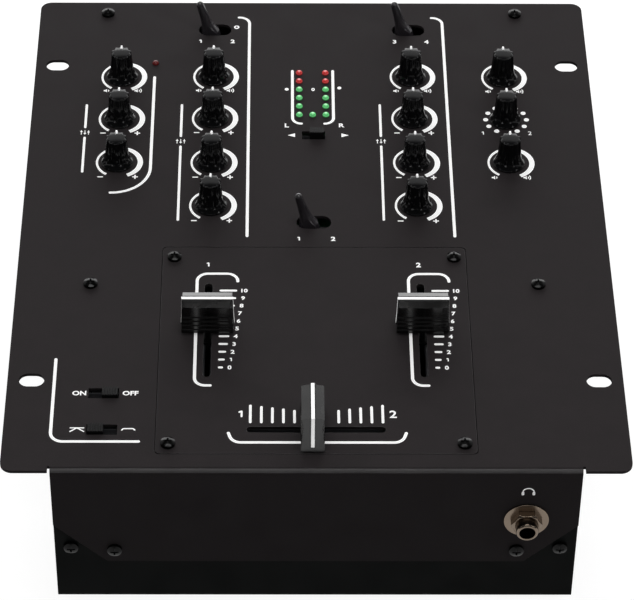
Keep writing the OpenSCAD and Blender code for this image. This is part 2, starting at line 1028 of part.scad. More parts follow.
// Plated shells of the phono sockets.
module rca_shells() {
    color([0.8, 0.7, 0.42])
        for (x = rca_x, z = rca_z)
            on_rear(x, z, rear_board_y + 4)
                difference() {
                    cylinder(d = 8.3, h = rca_tip_y - rear_board_y - 4);
                    translate([0, 0, 1.5])
                        cylinder(d = 3.3, h = 30);
                    translate([0, 0, 9])
                        difference() {
                            cylinder(d = 7.1, h = 20);
                            cylinder(d = 5, h = 20);
                        }
                }
}

// The slider of a phono and line switch on the rear wall.
module phono_slider(x) {
    color([0.05, 0.05, 0.055])
        translate([x - 2.1, 0, phono_z])
            rotate([-90, 0, 0])
                grip(3.8, rear_board_y + 8, rear_y + 2, 3.4);
}

// The frame of the power switch.
module power_switch() {
    color([0.06, 0.06, 0.065])
        translate([power_x, 0, power_z])
            difference() {
                union() {
                    translate([-9.4, rear_board_y, -6.4])
                        cube([18.8, rear_y - rear_board_y + 0.5, 12.8]);
                    translate([-10.5, rear_y, -7.5])
                        cube([21, 1.6, 15]);
                }
                translate([-8, rear_board_y + 3, -5.2])
                    cube([16, 30, 10.4]);
                translate([0, rear_y - 3.5, 0])
                    cylinder(r = 1.1, h = 12, center = true);
            }
}

// The rocker: two faces that meet in a shallow valley, on a pin.
module power_rocker() {
    color([0.05, 0.05, 0.055])
        translate([power_x, rear_y - 3.5, power_z])
            union() {
                rotate(-10)
                    linear_extrude(9.8, center = true)
                        polygon([
                            [-6.2, 0], [-6.3, 6.6], [0, 5.2], [6.3, 6.6], [6.2, 0], [0, -2.5]
                        ]);
                cylinder(r = 1, h = 11.8, center = true);
            }
}

// A round inlet for a low-voltage plug.
module power_inlet() {
    color([0.06, 0.06, 0.065])
        on_rear(inlet_x, inlet_z, rear_board_y)
            union() {
                difference() {
                    union() {
                        translate([-7, -7, 0])
                            cube([14, 14, rear_in_y - rear_board_y]);
                        cylinder(d = 11, h = rear_y + 2 - rear_board_y);
                    }
                    translate([0, 0, 2])
                        cylinder(d = 5.7, h = 20);
                }
                cylinder(d = 2, h = rear_y - rear_board_y);
            }
}

// The ground terminal: a stud with a knurled thumb nut.
module ground_post() {
    notches = 20;
    color([0.8, 0.78, 0.72])
        on_rear(ground_x, ground_z, rear_in_y - 3)
            difference() {
                union() {
                    cylinder(d = 4, h = 12.5);
                    cylinder(d = 7, h = 3, $fn = 6);
                    translate([0, 0, 5.2])
                        cylinder(d = 9.6, h = 5);
                }
                for (i = [0 : notches - 1])
                    rotate(i * 360 / notches)
                        translate([5.1, 0, 5.6])
                            cylinder(r = 0.55, h = 8, $fn = 16);
            }
}

// ---------- fasteners ----------

module plate_screws() {
    color([0.05, 0.05, 0.05])
        screw_grid([-plate_screw_x, plate_screw_x], plate_screw_y, plate_top, 5);
}

module panel_screws() {
    color([0.05, 0.05, 0.05])
        screw_grid([-panel_screw_x, panel_screw_x], panel_screw_y, plate_top, 5);
}

// Two screws hold the skirt to the tray and two hold the tray to the side panels.
module front_screws() {
    color([0.05, 0.05, 0.05])
        for (s = [-1, 1]) {
            on_front(s * skirt_screw_x, front_screw_z, front_y)
                pan_screw(5);
            on_front(s * wall_screw_x, front_screw_z, wall_y)
                pan_screw(4);
        }
}

module rear_screws() {
    color([0.05, 0.05, 0.05])
        for (x = [-1, 1], z = rear_screw_z)
            on_rear(x * wall_screw_x, z, rear_y)
                pan_screw(4);
}

// ---------- the assembly ----------

face_plate();
fader_panel();
base_tray();
side_panel(-1);  // side_panel_left
side_panel(1);  // side_panel_right
feet();
plate_screws();
panel_screws();
front_screws();
rear_screws();
board_spacers();
fader_nuts();
main_board();
jack_board();
red_leds();
green_leds();
potentiometers();
for (k = KNOBS)
    knob(k[1], k[2]);
lever_switches();
slide_switches();
for (l = LEVERS)
    lever(l[1], l[2]);
for (s = SLIDERS)
    slider(s[1], s[2], s[3]);
for (f = FADERS) {
    fader_track(f);
    fader_carriage(f);
    fader_cap(f, f[3] == 90 ? 20.8 : 19.6, f[3] == 90 ? 0.6 : 3.6);
}
headphone_jack();
jack_washers();
jack_nuts();
mic_jack();
rca_blocks();
rca_shells();
phono_slider(phono_x[0]);  // phono_slider_1
phono_slider(phono_x[1]);  // phono_slider_2
power_switch();
power_rocker();
power_inlet();
ground_post();
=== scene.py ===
"""Looks of a two-channel mixer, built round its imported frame.

Sizes in the data are millimetres in the row frame: +X to the right, +Y to the rear panel, +Z up.
Every mesh is written in metres, at the origin, with its place in its vertices.
"""

import json
import logging
import math
from dataclasses import dataclass, field, replace
from enum import Enum

import bmesh
import bpy
import numpy as np
from mathutils import Matrix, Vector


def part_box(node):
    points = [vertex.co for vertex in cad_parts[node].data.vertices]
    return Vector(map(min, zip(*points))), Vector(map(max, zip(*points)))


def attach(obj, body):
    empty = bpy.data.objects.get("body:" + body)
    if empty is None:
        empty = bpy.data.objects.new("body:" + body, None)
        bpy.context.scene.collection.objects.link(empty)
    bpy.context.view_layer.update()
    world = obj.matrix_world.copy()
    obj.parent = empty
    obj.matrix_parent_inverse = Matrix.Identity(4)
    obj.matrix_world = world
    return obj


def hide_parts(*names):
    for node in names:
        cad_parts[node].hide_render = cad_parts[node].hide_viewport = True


MM = 0.001
LOG = logging.getLogger("mixer")

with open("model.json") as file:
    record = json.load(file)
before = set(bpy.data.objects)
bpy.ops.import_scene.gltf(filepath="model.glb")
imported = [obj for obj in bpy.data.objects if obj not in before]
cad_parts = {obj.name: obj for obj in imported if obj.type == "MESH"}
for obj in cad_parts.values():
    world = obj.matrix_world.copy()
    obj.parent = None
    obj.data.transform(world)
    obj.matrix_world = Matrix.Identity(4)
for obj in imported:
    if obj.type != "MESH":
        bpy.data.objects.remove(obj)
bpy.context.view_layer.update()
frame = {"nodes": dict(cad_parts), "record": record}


# ---------------------------------------------------------------------------------------------
# Meshes
# ---------------------------------------------------------------------------------------------


def grid_quads(rows: int, cols: int, wrap: bool = False) -> np.ndarray:
    """Faces of a grid of points stored row by row.

    Args:
        rows: how many rows of points there are.
        cols: how many points a row has.
        wrap: whether the last column joins the first.

    Returns:
        An array of four corner numbers a face.
    """
    i, j = np.meshgrid(np.arange(rows - 1), np.arange(cols if wrap else cols - 1), indexing="ij")
    right = (j + 1) % cols
    corners = (i * cols + j, i * cols + right, (i + 1) * cols + right, (i + 1) * cols + j)
    return np.stack([c.ravel() for c in corners], 1)


def tube_ends(rings: int) -> list:
    """The square ends of a tube whose rings have four points."""
    last = 4 * (rings - 1)
    return [[3, 2, 1, 0], [last, last + 1, last + 2, last + 3]]


def fans(rings: int, cols: int) -> list:
    """The triangles that close a tube's first and last ring.

    The tube's points come first. After them come the middle of its first end and that of its last end.
    """
    total, last = rings * cols, (rings - 1) * cols
    first = [[total, (k + 1) % cols, k] for k in range(cols)]
    return first + [[total + 1, last + k, last + (k + 1) % cols] for k in range(cols)]


def new_object(name: str, data: bpy.types.ID) -> bpy.types.Object:
    """Makes an object for a mesh, a lamp, lettering or a camera and links it to the scene."""
    made = bpy.data.objects.new(name, data)
    bpy.context.collection.objects.link(made)
    return made


def merged_copy(node: str, reach: float, level: float = 0.0) -> bpy.types.Mesh:
    """A smooth copy of a CAD mesh with its points merged and no material.

    Args:
        node: the CAD node.
        reach: distance up to which points merge, in metres.
        level: angle up to which faces join into one flat face, in degrees.

    Returns:
        The copy.
    """
    mesh = frame["nodes"][node].data.copy()
    work = bmesh.new()
    work.from_mesh(mesh)
    bmesh.ops.remove_doubles(work, verts=work.verts, dist=reach)
    if level:
        bmesh.ops.dissolve_limit(
            work, angle_limit=math.radians(level), verts=work.verts, edges=work.edges, use_dissolve_boundaries=False
        )
    work.to_mesh(mesh)
    work.free()
    mesh.polygons.foreach_set("use_smooth", np.full(len(mesh.polygons), True))
    mesh.materials.clear()
    return mesh


def stand_for(piece: bpy.types.Object, node: str) -> None:
    """Lets a piece take the place of a CAD node."""
    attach(piece, body_of(node))
    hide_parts(node)


def put_piece(
    name: str, points: np.ndarray, faces: list, body: str, finish: "Finish", smooth: bool = True
) -> bpy.types.Object:
    """Makes an object from points in millimetres and lets it ride on a body.

    Args:
        name: the piece's name.
        points: one row of x, y, z a point.
        faces: lists of corner numbers.
        body: the CAD body that carries it.
        finish: what it is made of.
        smooth: whether its faces shade as one surface.

    Returns:
        The new object.
    """
    mesh = bpy.data.meshes.new(name)
    mesh.from_pydata((points * MM).tolist(), [], faces)
    work = bmesh.new()
    work.from_mesh(mesh)
    bmesh.ops.recalc_face_normals(work, faces=work.faces)
    work.to_mesh(mesh)
    work.free()
    mesh.polygons.foreach_set("use_smooth", np.full(len(mesh.polygons), smooth))
    mesh.materials.append(finish.material())
    piece = new_object(name, mesh)
    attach(piece, body)
    LOG.info("%s: %d faces", name, len(mesh.polygons))
    return piece


def body_of(node: str) -> str:
    """The body that carries a CAD node."""
    bodies = frame["record"]["behaviour"]["bodies"]
    return next(body for body, nodes in bodies.items() if node in nodes)


def slot_of(node: str) -> str:
    """The material slot of a CAD node."""
    return next(s["material_slot"] for s in frame["record"]["subparts"] if s["node"] == node)


def box_mm(node: str) -> tuple[np.ndarray, np.ndarray]:
    """Lowest and highest corner of a CAD node in millimetres."""
    low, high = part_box(node)
    return np.array(low) / MM, np.array(high) / MM


def middle_mm(node: str) -> np.ndarray:
    """Middle of a CAD node's box in millimetres."""
    low, high = box_mm(node)
    return (low + high) / 2


# ---------------------------------------------------------------------------------------------
# Finishes
# ---------------------------------------------------------------------------------------------


def set_inputs(tree: bpy.types.NodeTree, node: bpy.types.Node, values: dict) -> None:
    """Sets inputs of a node, each to a value or to another node's output."""
    for key, value in values.items():
        if isinstance(value, bpy.types.NodeSocket):
            tree.links.new(value, node.inputs[key])
        else:
            node.inputs[key].default_value = value


def add_node(tree: bpy.types.NodeTree, kind: str, values: dict | None = None, **settings) -> bpy.types.Node:
    """Adds a shader node.

    Args:
        tree: the material's or the world's nodes.
        kind: the node's type after "ShaderNode".
        values: values or outputs for its inputs, by name or number.
        settings: its own settings, which are made first.

    Returns:
        The new node.
    """
    node = tree.nodes.new("ShaderNode" + kind)
    for key, value in settings.items():
        setattr(node, key, value)
    set_inputs(tree, node, values or {})
    return node


def spread(value: bpy.types.NodeSocket, given: tuple, wanted: tuple, kind: str = "LINEAR") -> bpy.types.NodeSocket:
    """Turns one span of values into another.

    Args:
        value: the output that gives the value.
        given: the ends of its span.
        wanted: the ends of the span that is wanted.
        kind: LINEAR or SMOOTHSTEP.

    Returns:
        The output with the new value.
    """
    names = ("From Min", "From Max", "To Min", "To Max")
    values = {**dict(zip(names, (*given, *wanted))), "Value": value}
    return add_node(value.id_data, "MapRange", values, interpolation_type=kind).outputs["Result"]


@dataclass(frozen=True)
class Finish:
    """A surface: its colour, gloss, fine grain, mottling, and paler edges, partly scuffed and partly a painted
    highlight.

    Attributes:
        name: the material's name.
        colour: linear red, green and blue.
        roughness: mean roughness.
        metallic: 1 for bare metal.
        specular: specular level of the clear part.
        grain: size of the surface's grain in millimetres.
        bump: depth of the grain in millimetres.
        mottle: how far the colour strays, as a share of itself.
        uneven: how far the roughness strays.
        blotch: size of the broad lumps of colour and gloss in millimetres.
        wear: how much paler its rounded edges are made, from 0 to 1; partly scuffing, partly painted highlight.
        glow: light that the surface gives off: the lamps' own light, and on the white print a painted glow that keeps
            it white where it lies in shade.
        brushed: whether the grain runs along X.
    """

    name: str
    colour: tuple[float, float, float]
    roughness: float = 0.5
    metallic: float = 0.0
    specular: float = 0.5
    grain: float = 0.4
    bump: float = 0.01
    mottle: float = 0.15
    uneven: float = 0.08
    blotch: float = 14.0
    wear: float = 0.0
    glow: float = 0.0
    brushed: bool = False

    def material(self) -> bpy.types.Material:
        """The node material of this finish, made once."""
        name = self.name + "_finish"
        known = bpy.data.materials.get(name)
        if known:
            return known
        made = bpy.data.materials.new(name)
        made.use_nodes = True
        tree = made.node_tree
        shader = tree.nodes["Principled BSDF"]
        place = add_node(tree, "TexCoord").outputs["Object"]
        if self.brushed:
            place = add_node(tree, "Mapping", {"Vector": place, "Scale": (0.04, 1.0, 1.0)}).outputs["Vector"]
        fine = self._noise(place, self.grain, 3.0)
        broad = self._noise(place, self.blotch, 4.0)
        bump = add_node(tree, "Bump", {"Strength": 1.0, "Distance": self.bump * MM, "Height": fine})
        spare = (max(self.roughness - self.uneven, 0.02), min(self.roughness + self.uneven, 1.0))
        values = {
            "Metallic": self.metallic,
            "Specular IOR Level": self.specular,
            "Base Color": self._colour(fine, broad),
            "Roughness": spread(broad, (0.3, 0.7), spare),
            "Normal": bump.outputs["Normal"],
        }
        if self.glow:
            values.update({"Emission Strength": self.glow, "Emission Color": (*self.colour, 1.0)})
        set_inputs(tree, shader, values)
        return made

    def worn(self) -> bpy.types.Material:
        """The same finish made paler and glossier, for rounded edges: partly scuffing, partly a painted highlight."""
        # The paler colour stands partly for scuffing and partly for a painted highlight on edges that catch the light.
        pale = tuple(c + self.wear * (0.3 - c) for c in self.colour)
        rubbed_and_highlit = replace(self, name=self.name + "_worn", colour=pale, roughness=self.roughness * 0.6)
        return replace(rubbed_and_highlit, specular=max(self.specular, 0.4)).material()

    @staticmethod
    def _noise(place: bpy.types.NodeSocket, size: float, detail: float) -> bpy.types.NodeSocket:
        """A noise from 0 to 1 whose lumps have a size in millimetres."""
        values = {"Scale": 1.0 / (size * MM), "Detail": detail, "Vector": place}
        return add_node(place.id_data, "TexNoise", values).outputs["Fac"]

    def _colour(self, fine: bpy.types.NodeSocket, broad: bpy.types.NodeSocket) -> bpy.types.NodeSocket:
        """A base colour that strays with the sum of both noises."""
        tree = fine.id_data
        both = add_node(tree, "Math", {0: fine, 1: broad}, operation="ADD")
        base = np.array(self.colour)
        values = {
            "A": (*(base * (1 - self.mottle)), 1.0),
            "B": (*np.minimum(base * (1 + self.mottle), 1.0), 1.0),
            "Factor": spread(both.outputs[0], (0.7, 1.3), (0.0, 1.0)),
        }
        return add_node(tree, "Mix", values, data_type="RGBA").outputs["Result"]


@dataclass(frozen=True)
class LampGlass(Finish):
    """The coloured lens of a lamp: a dark rim, a pale ring in it, a lit body and a pale middle.

    Attributes:
        off_below: a lamp whose X is less than this, in millimetres, is dim.
        dim: a dim lamp's light as a share of a lit one's.
        steps: from the rim (0) to the middle (1): how much of the colour shows, and how much white.
    """

    off_below: float = -1000.0
    dim: float = 0.16
    steps: tuple = (
        (0.0, 0.15, 0.0),
        (0.2, 0.35, 0.0),
        (0.35, 0.95, 0.04),
        (0.6, 0.6, 0.0),
        (0.9, 0.85, 0.0),
        (0.98, 0.9, 0.22),
    )

    def material(self) -> bpy.types.Material:
        """The finish with its colour and glow graded over the height that LampLens keeps as "rise"."""
        made = super().material()
        tree = made.node_tree
        shader = tree.nodes["Principled BSDF"]
        if shader.inputs["Emission Color"].is_linked:
            return made
        height = add_node(tree, "Attribute", attribute_name="rise")
        grade = add_node(tree, "ValToRGB", {"Fac": height.outputs["Fac"]})
        while len(grade.color_ramp.elements) < len(self.steps):
            grade.color_ramp.elements.new(1.0)
        for stop, (place, share, pale) in zip(grade.color_ramp.elements, self.steps):
            stop.position = place
            stop.color = (*(share * c + pale * (1 - c) for c in self.colour), 1.0)
        across = add_node(tree, "SeparateXYZ", {0: add_node(tree, "TexCoord").outputs["Object"]})
        edge = ((self.off_below - 1.0) * MM, (self.off_below + 1.0) * MM)
        lit = spread(across.outputs["X"], edge, (self.dim, 1.0))
        values = {"A": (0.0, 0.0, 0.0, 1.0), "B": grade.outputs["Color"], "Factor": lit}
        light = add_node(tree, "Mix", values, data_type="RGBA").outputs["Result"]
        set_inputs(tree, shader, {"Emission Color": light, "Base Color": light})
        return made


FINISHES = {
    finish.name: finish
    for finish in (
        Finish(
            "plate_paint", (0.0268, 0.0232, 0.0242), 0.6, specular=0.035, grain=0.35, bump=0.03, mottle=0.14, wear=0.14
        ),
        Finish(
            "tray_paint", (0.0048, 0.0054, 0.0052), 0.55, specular=0.03, grain=0.3, bump=0.02, mottle=0.2, wear=0.04
        ),
        Finish("foot_rubber", (0.012, 0.012, 0.012), 0.85, specular=0.3, grain=0.5, bump=0.02),
        Finish("black_screw", (0.0025, 0.0025, 0.0025), 0.18, specular=0.12, grain=0.2, bump=0.006),
        Finish("brass_spacer", (0.66, 0.48, 0.2), 0.3, metallic=1.0, grain=0.2, bump=0.004),
        Finish("zinc_steel", (0.55, 0.56, 0.58), 0.38, metallic=1.0, grain=0.3, bump=0.004, brushed=True),
        Finish("circuit_board", (0.01, 0.11, 0.035), 0.35, grain=0.8, mottle=0.2),
        LampGlass(
            "red_lamp", (0.55, 0.03, 0.03), 0.14, specular=0.3, grain=0.9, bump=0.002, mottle=0.05, glow=0.6,
            off_below=-30.0,
        ),
        LampGlass("green_lamp", (0.1, 0.52, 0.16), 0.14, grain=0.9, bump=0.002, mottle=0.05, glow=0.75),
        Finish("switch_case", (0.02, 0.02, 0.02)),
        # The nickel is darkened: painted shade standing in for the dark room that its front reflects.
        Finish("nickel", (0.17, 0.135, 0.105), 0.2, metallic=1.0, grain=0.25, bump=0.004, uneven=0.06),
        Finish("black_moulding", (0.036, 0.032, 0.036), 0.25, specular=0.6, grain=0.6, bump=0.003),
        Finish("gold_plate", (0.8, 0.55, 0.18), 0.2, metallic=1.0, grain=0.3, bump=0.003),
        Finish("knob_gloss", (0.0035, 0.0035, 0.004), 0.1, specular=0.26, grain=2.5, bump=0.0002, uneven=0.03),
        Finish("slider_plastic", (0.005, 0.005, 0.0055), 0.4, specular=0.15, grain=0.3, bump=0.004),
        Finish("carriage_nylon", (0.008, 0.008, 0.008), specular=0.2, grain=0.5, bump=0.006),
        Finish("cap_plastic", (0.0045, 0.0042, 0.0042), 0.24, specular=0.6, grain=0.2, bump=0.006, wear=0.02),
        # The print's glow is painted light: it keeps the marks, the pointers and the fader lines white in shade.
        Finish("white_print", (0.88, 0.88, 0.875), specular=0.3, grain=0.2, bump=0.003, mottle=0.02, glow=0.3),
    )
}


class CarriedNodes:
    """The CAD nodes that stay as they are and only get their finish.

    The levers share the knobs' slot, but are a little greyer: a painted sheen. The steel under the slots is darker
    than the other steel: painted shade under the plate.
    """

    @staticmethod
    def dress() -> None:
        """Gives every CAD node the finish of its slot."""
        for part in frame["record"]["subparts"]:
            name = part["node"]
            finish = FINISHES[part["material_slot"]]
            if name.endswith("_source_lever"):
                # The levers' greyer colour is a painted sheen.
                finish = replace(finish, name="lever_painted_sheen", colour=(0.026, 0.023, 0.027), roughness=0.22, specular=0.7)
            if name.endswith("_track") or name == "slide_switches":
                # Darker steel under the slots: painted shade.
                finish = replace(finish, name="shaded_steel", colour=(0.2, 0.2, 0.21), roughness=0.5)
            materials = frame["nodes"][name].data.materials
            materials.clear()
            materials.append(finish.material())
            LOG.info("%s: %s", name, part["material_slot"])


@dataclass
class SoftEdges:
    """Copies of CAD nodes whose sharp edges get a small round.

    Attributes:
        width: width of the round for each node, in millimetres.
        segments: steps across the round.
        sharp: angle from which an edge is rounded, in degrees.
        merge: distance up to which the copy's points merge, in millimetres.
        level: angle up to which the copy's faces join, in degrees.
        folded: the nodes whose front fold gets the paler finish along its outside, as a painted highlight.
        tilt: how far a fold's face looks up and to the front, at least, as parts of its normal, to take that painted
            highlight.
    """

    width: dict[str, float]
    segments: int = 2
    sharp: float = 32.0
    merge: float = 0.002
    level: float = 0.6
    folded: tuple[str, ...] = ("face_plate",)
    tilt: float = 0.35

    def build(self) -> None:
        """Makes the copies and lets them stand for their nodes."""
        for node, width in self.width.items():
            self._soften(node, width)

    def _soften(self, node: str, width: float) -> None:
        """Copies one node, rounds its edges and gives the rounds the paler edge finish, partly scuffing and partly
        painted highlight; a fold gets it as a painted highlight.
        """
        mesh = merged_copy(node, self.merge * MM, self.level)
        mesh.name = node + "_finished"
        normals = np.empty(3 * len(mesh.polygons))
        mesh.polygons.foreach_get("normal", normals)
        normals = normals.reshape(-1, 3)
        # Fold faces that look up and to the front take the paler finish: a painted highlight where the fold catches the
        # light.
        fold_highlight = (normals[:, 2] > self.tilt) & (normals[:, 1] < -self.tilt) & (np.abs(normals[:, 0]) < 0.05)
        if node in self.folded:
            mesh.polygons.foreach_set("material_index", fold_highlight.astype(np.int32))
        finish = FINISHES[slot_of(node)]
        mesh.materials.append(finish.material())
        mesh.materials.append(finish.worn())
        piece = new_object(node + "_finished", mesh)
        bevel = piece.modifiers.new("edge_round", "BEVEL")
        bevel.width = width * MM
        bevel.segments = self.segments
        bevel.limit_method = "ANGLE"
        bevel.angle_limit = math.radians(self.sharp)
        bevel.use_clamp_overlap = True
        # The rounds take the paler second finish: partly scuffing, partly painted highlight.
        bevel.material = 1
        even = piece.modifiers.new("even_shading", "WEIGHTED_NORMAL")
        even.mode = "FACE_AREA"
        even.keep_sharp = True
        stand_for(piece, node)
        LOG.info("%s: edges rounded to %.2f mm", node, width)


# ---------------------------------------------------------------------------------------------
# Printed marks
# ---------------------------------------------------------------------------------------------


class Face(Enum):
    """The faces that carry print."""

    PLATE = "plate"
    SKIRT = "skirt"


@dataclass
class Stencil:
    """A layer of white print on one face, gathered into one mesh.

    Attributes:
        name: the piece's name.
        face: the face that it lies on.
        level: height of the plate's top, or y of the skirt's face.
        film: thickness of the ink.
    """

    name: str
    face: Face
    level: float
    film: float = 0.06
    points: list[np.ndarray] = field(default_factory=list)
    faces: list[list[int]] = field(default_factory=list)
    count: int = 0

    def add(self, flat: np.ndarray, lift: np.ndarray, faces: list) -> None:
        """Adds points given across, along and above the face."""
        across, along = flat[:, 0], flat[:, 1]
        if self.face is Face.PLATE:
            placed = np.stack([across, along, self.level + lift], 1)
        else:
            placed = np.stack([across, self.level - lift, along], 1)
        self.points.append(placed)
        self.faces.extend([[int(k) + self.count for k in f] for f in faces])
        self.count += len(placed)

    def band(self, left: np.ndarray, right: np.ndarray, closed: bool = False) -> None:
        """Adds the closed film between two edge curves.

        Each station has four points: both edges at the ink's top and both at its foot.

        Args:
            left: one row a station for the left edge.
            right: one row a station for the right edge.
            closed: whether the last station joins the first.
        """
        count = len(left)
        flat = np.stack([left, right, right, left], 1).reshape(-1, 2)
        lift = np.tile([self.film, self.film, 0.0, 0.0], count)
        quads = grid_quads(count, 4, wrap=True).tolist()
        if closed:
            last = 4 * (count - 1)
            quads += [[last + k, last + (k + 1) % 4, (k + 1) % 4, k] for k in range(4)]
        else:
            quads += tube_ends(count)
        self.add(flat, lift, quads)

    def line(self, path: np.ndarray | list, width: float, blunt: bool = False) -> None:
        """Adds a stroke with round ends along a path.

        The half width at distance s from an end is the height of a half circle, up to the full half width.

        Args:
            path: one row a point.
            width: the stroke's width.
            blunt: whether the ends are cut square.
        """
        path = np.asarray(path, float)
        steps = np.hypot(*np.diff(path, axis=0).T)
        along = np.concatenate([[0.0], np.cumsum(steps)])
        total, half = along[-1], width / 2
        count = max(int(total / 0.35), 6)
        even = np.linspace(0.0, total, count)
        near = half * (1 - np.cos(np.linspace(0, math.pi / 2, 6)))
        stops = np.unique(np.round(np.concatenate([even, near, total - near]), 5))
        spots = np.stack([np.interp(stops, along, path[:, k]) for k in (0, 1)], 1)
        ahead = np.gradient(spots, stops, axis=0)
        ahead /= np.maximum(np.hypot(*ahead.T), 1e-9)[:, None]
        side = np.stack([-ahead[:, 1], ahead[:, 0]], 1)
        if blunt:
            reach = np.full(len(stops), half)
        else:
            edge = np.minimum(np.minimum(stops, total - stops), half)
            reach = np.sqrt(np.maximum(half**2 - (half - edge) ** 2, (0.02 * half) ** 2))
        self.band(spots + side * reach[:, None], spots - side * reach[:, None])

    def dot(self, x: float, y: float, radius: float) -> None:
        """Adds a filled round dot."""
        turn = np.linspace(0, math.pi, 17)
        span = np.stack([x - radius * np.cos(turn), np.zeros(17)], 1)
        rise = np.maximum(radius * np.sin(turn), 0.01)
        left = np.stack([span[:, 0], y + rise], 1)
        right = np.stack([span[:, 0], y - rise], 1)
        self.band(left, right)

    def ring(self, x: float, y: float, outer: float, inner: float) -> None:
        """Adds a round ring."""
        turn = np.linspace(0, 2 * math.pi, 49)[:-1]
        unit = np.stack([np.cos(turn), np.sin(turn)], 1)
        self.band(np.array([x, y]) + outer * unit, np.array([x, y]) + inner * unit, closed=True)

    def word(self, text: str, x: float, y: float, height: float, widen: float = 1.1, bold: float = 0.0) -> None:
        """Adds generic lettering, centred on a place and scaled to a height.

        Args:
            text: digits, or a plain word for a switch's end.
            x: where its middle is across.
            y: where its middle is along.
            height: height of a capital.
            widen: stretch across.
            bold: how much the strokes are thickened.
        """
        if text == "1":
            slim = height * 0.09
            rise = height / 2 - slim
            stem = x + height * 0.06
            path = [[x - height * 0.24, y + rise * 0.55], [stem, y + rise], [stem, y - rise]]
            self.line(path, 2 * slim + bold * height)
            return
        curve = bpy.data.curves.new("lettering", "FONT")
        curve.body = text
        curve.offset = bold
        curve.resolution_u = 4
        holder = new_object("lettering", curve)
        graph = bpy.context.evaluated_depsgraph_get()
        flat = bpy.data.meshes.new_from_object(holder.evaluated_get(graph))
        bpy.data.objects.remove(holder)
        bpy.data.curves.remove(curve)
        work = bmesh.new()
        work.from_mesh(flat)
        bmesh.ops.remove_doubles(work, verts=work.verts, dist=1e-4)
        raised = bmesh.ops.extrude_face_region(work, geom=work.faces[:])
        top = {v for v in raised["geom"] if isinstance(v, bmesh.types.BMVert)}
        work.verts.index_update()
        spots = np.array([v.co[:2] for v in work.verts])
        lift = np.array([self.film if v in top else 0.0 for v in work.verts])
        faces = [[v.index for v in f.verts] for f in work.faces]
        work.free()
        bpy.data.meshes.remove(flat)
        least, most = spots.min(0), spots.max(0)
        scale = height / (most[1] - least[1])
        spots = (spots - (least + most) / 2) * np.array([scale * widen, scale]) + np.array([x, y])
        self.add(spots, lift, faces)

    def ink(self, body: str) -> bpy.types.Object:
        """Makes the gathered marks one piece that rides on a body."""
        points = np.concatenate(self.points)
        return put_piece(self.name, points, self.faces, body, FINISHES["white_print"], smooth=False)


def turned_path(corners: list[tuple[float, float]], radii: list[float]) -> np.ndarray:
    """A path through corners, each rounded by an arc.

    At a corner the arc touches both legs, at the radius times the tangent of half the turn from the corner.

    Args:
        corners: the path's points.
        radii: one radius for each inner corner.

    Returns:
        One row a point.
    """
    spots = np.array(corners, float)
    parts = [spots[:1]]
    for k, radius in enumerate(radii, start=1):
        back = spots[k - 1] - spots[k]
        ahead = spots[k + 1] - spots[k]
        back /= np.hypot(*back)
        ahead /= np.hypot(*ahead)
        half = math.acos(float(np.clip(back @ ahead, -1, 1))) / 2
        inset = radius / math.tan(half)
        middle = (back + ahead) / np.hypot(*(back + ahead))
        centre = spots[k] + middle * radius / math.sin(half)
        start = spots[k] + back * inset - centre
        end = spots[k] + ahead * inset - centre
        a0, a1 = math.atan2(start[1], start[0]), math.atan2(end[1], end[0])
        sweep = (a1 - a0 + math.pi) % (2 * math.pi) - math.pi
        turn = a0 + sweep * np.linspace(0, 1, 13)
        parts.append(centre + radius * np.stack([np.cos(turn), np.sin(turn)], 1))
    parts.append(spots[-1:])
    return np.concatenate(parts)


@dataclass
class KnobScale:
    """The crescent and the two signs round a knob.

    Attributes:
        outer: radius and shift across of the outer edge.
        inner: radius and shift across of the inner edge.
        sweep: how far the crescent reaches to each side of twelve o'clock, in degrees.
        least: least width of the crescent.
        sign: half the length of a plus or minus sign.
        stroke: width of the signs' strokes.
    """

    outer: tuple[float, float] = (10.45, 0.95)
    inner: tuple[float, float] = (8.8, 0.25)
    sweep: tuple[float, float] = (-150.0, 152.0)
    least: float = 0.75
    sign: float = 1.3
    stroke: float = 0.62

    def draw(self, stencil: Stencil, x: float, y: float) -> None:
        """Draws the crescent: its edges are two circles whose centres are shifted apart."""
        turn = np.radians(np.linspace(*self.sweep, 73))
        unit = np.stack([np.sin(turn), np.cos(turn)], 1)
        edges = []
        for radius, shift in (self.outer, self.inner):
            toward = shift * unit[:, 0]
            reach = toward + np.sqrt(radius**2 - shift**2 + toward**2)
            edges.append(np.array([x, y]) + unit * reach[:, None])
        thin = np.hypot(*(edges[0] - edges[1]).T) < self.least
        middle = (edges[0] + edges[1]) / 2
        for k, sign in ((0, 1), (1, -1)):
            edges[k] = np.where(thin[:, None], middle + sign * unit * (self.least / 2), edges[k])
        stencil.band(edges[0], edges[1])

    def minus(self, stencil: Stencil, x: float, y: float) -> None:
        """Draws a minus sign."""
        stencil.line([[x - self.sign, y], [x + self.sign, y]], self.stroke)

    def plus(self, stencil: Stencil, x: float, y: float) -> None:
        """Draws a plus sign."""
        self.minus(stencil, x, y)
        for side in (1, -1):
            stencil.line([[x, y + 0.3 * side], [x, y + self.sign * side]], self.stroke, blunt=True)

    @staticmethod
    def speaker(stencil: Stencil, x: float, y: float, waves: int) -> None:
        """Draws a small horn with sound waves."""
        left = np.array([[x - 1.5, y + 0.45], [x - 0.8, y + 0.45], [x, y + 1.2]])
        right = left * [1, -1] + [0, 2 * y]
        stencil.band(left, right)
        turn = np.radians(np.linspace(-48, 48, 9))
        for k in range(waves):
            reach = 0.9 + 0.9 * k
            arc = np.stack([x - 0.1 + reach * np.cos(turn), y + reach * np.sin(turn)], 1)
            stencil.line(arc, 0.45)


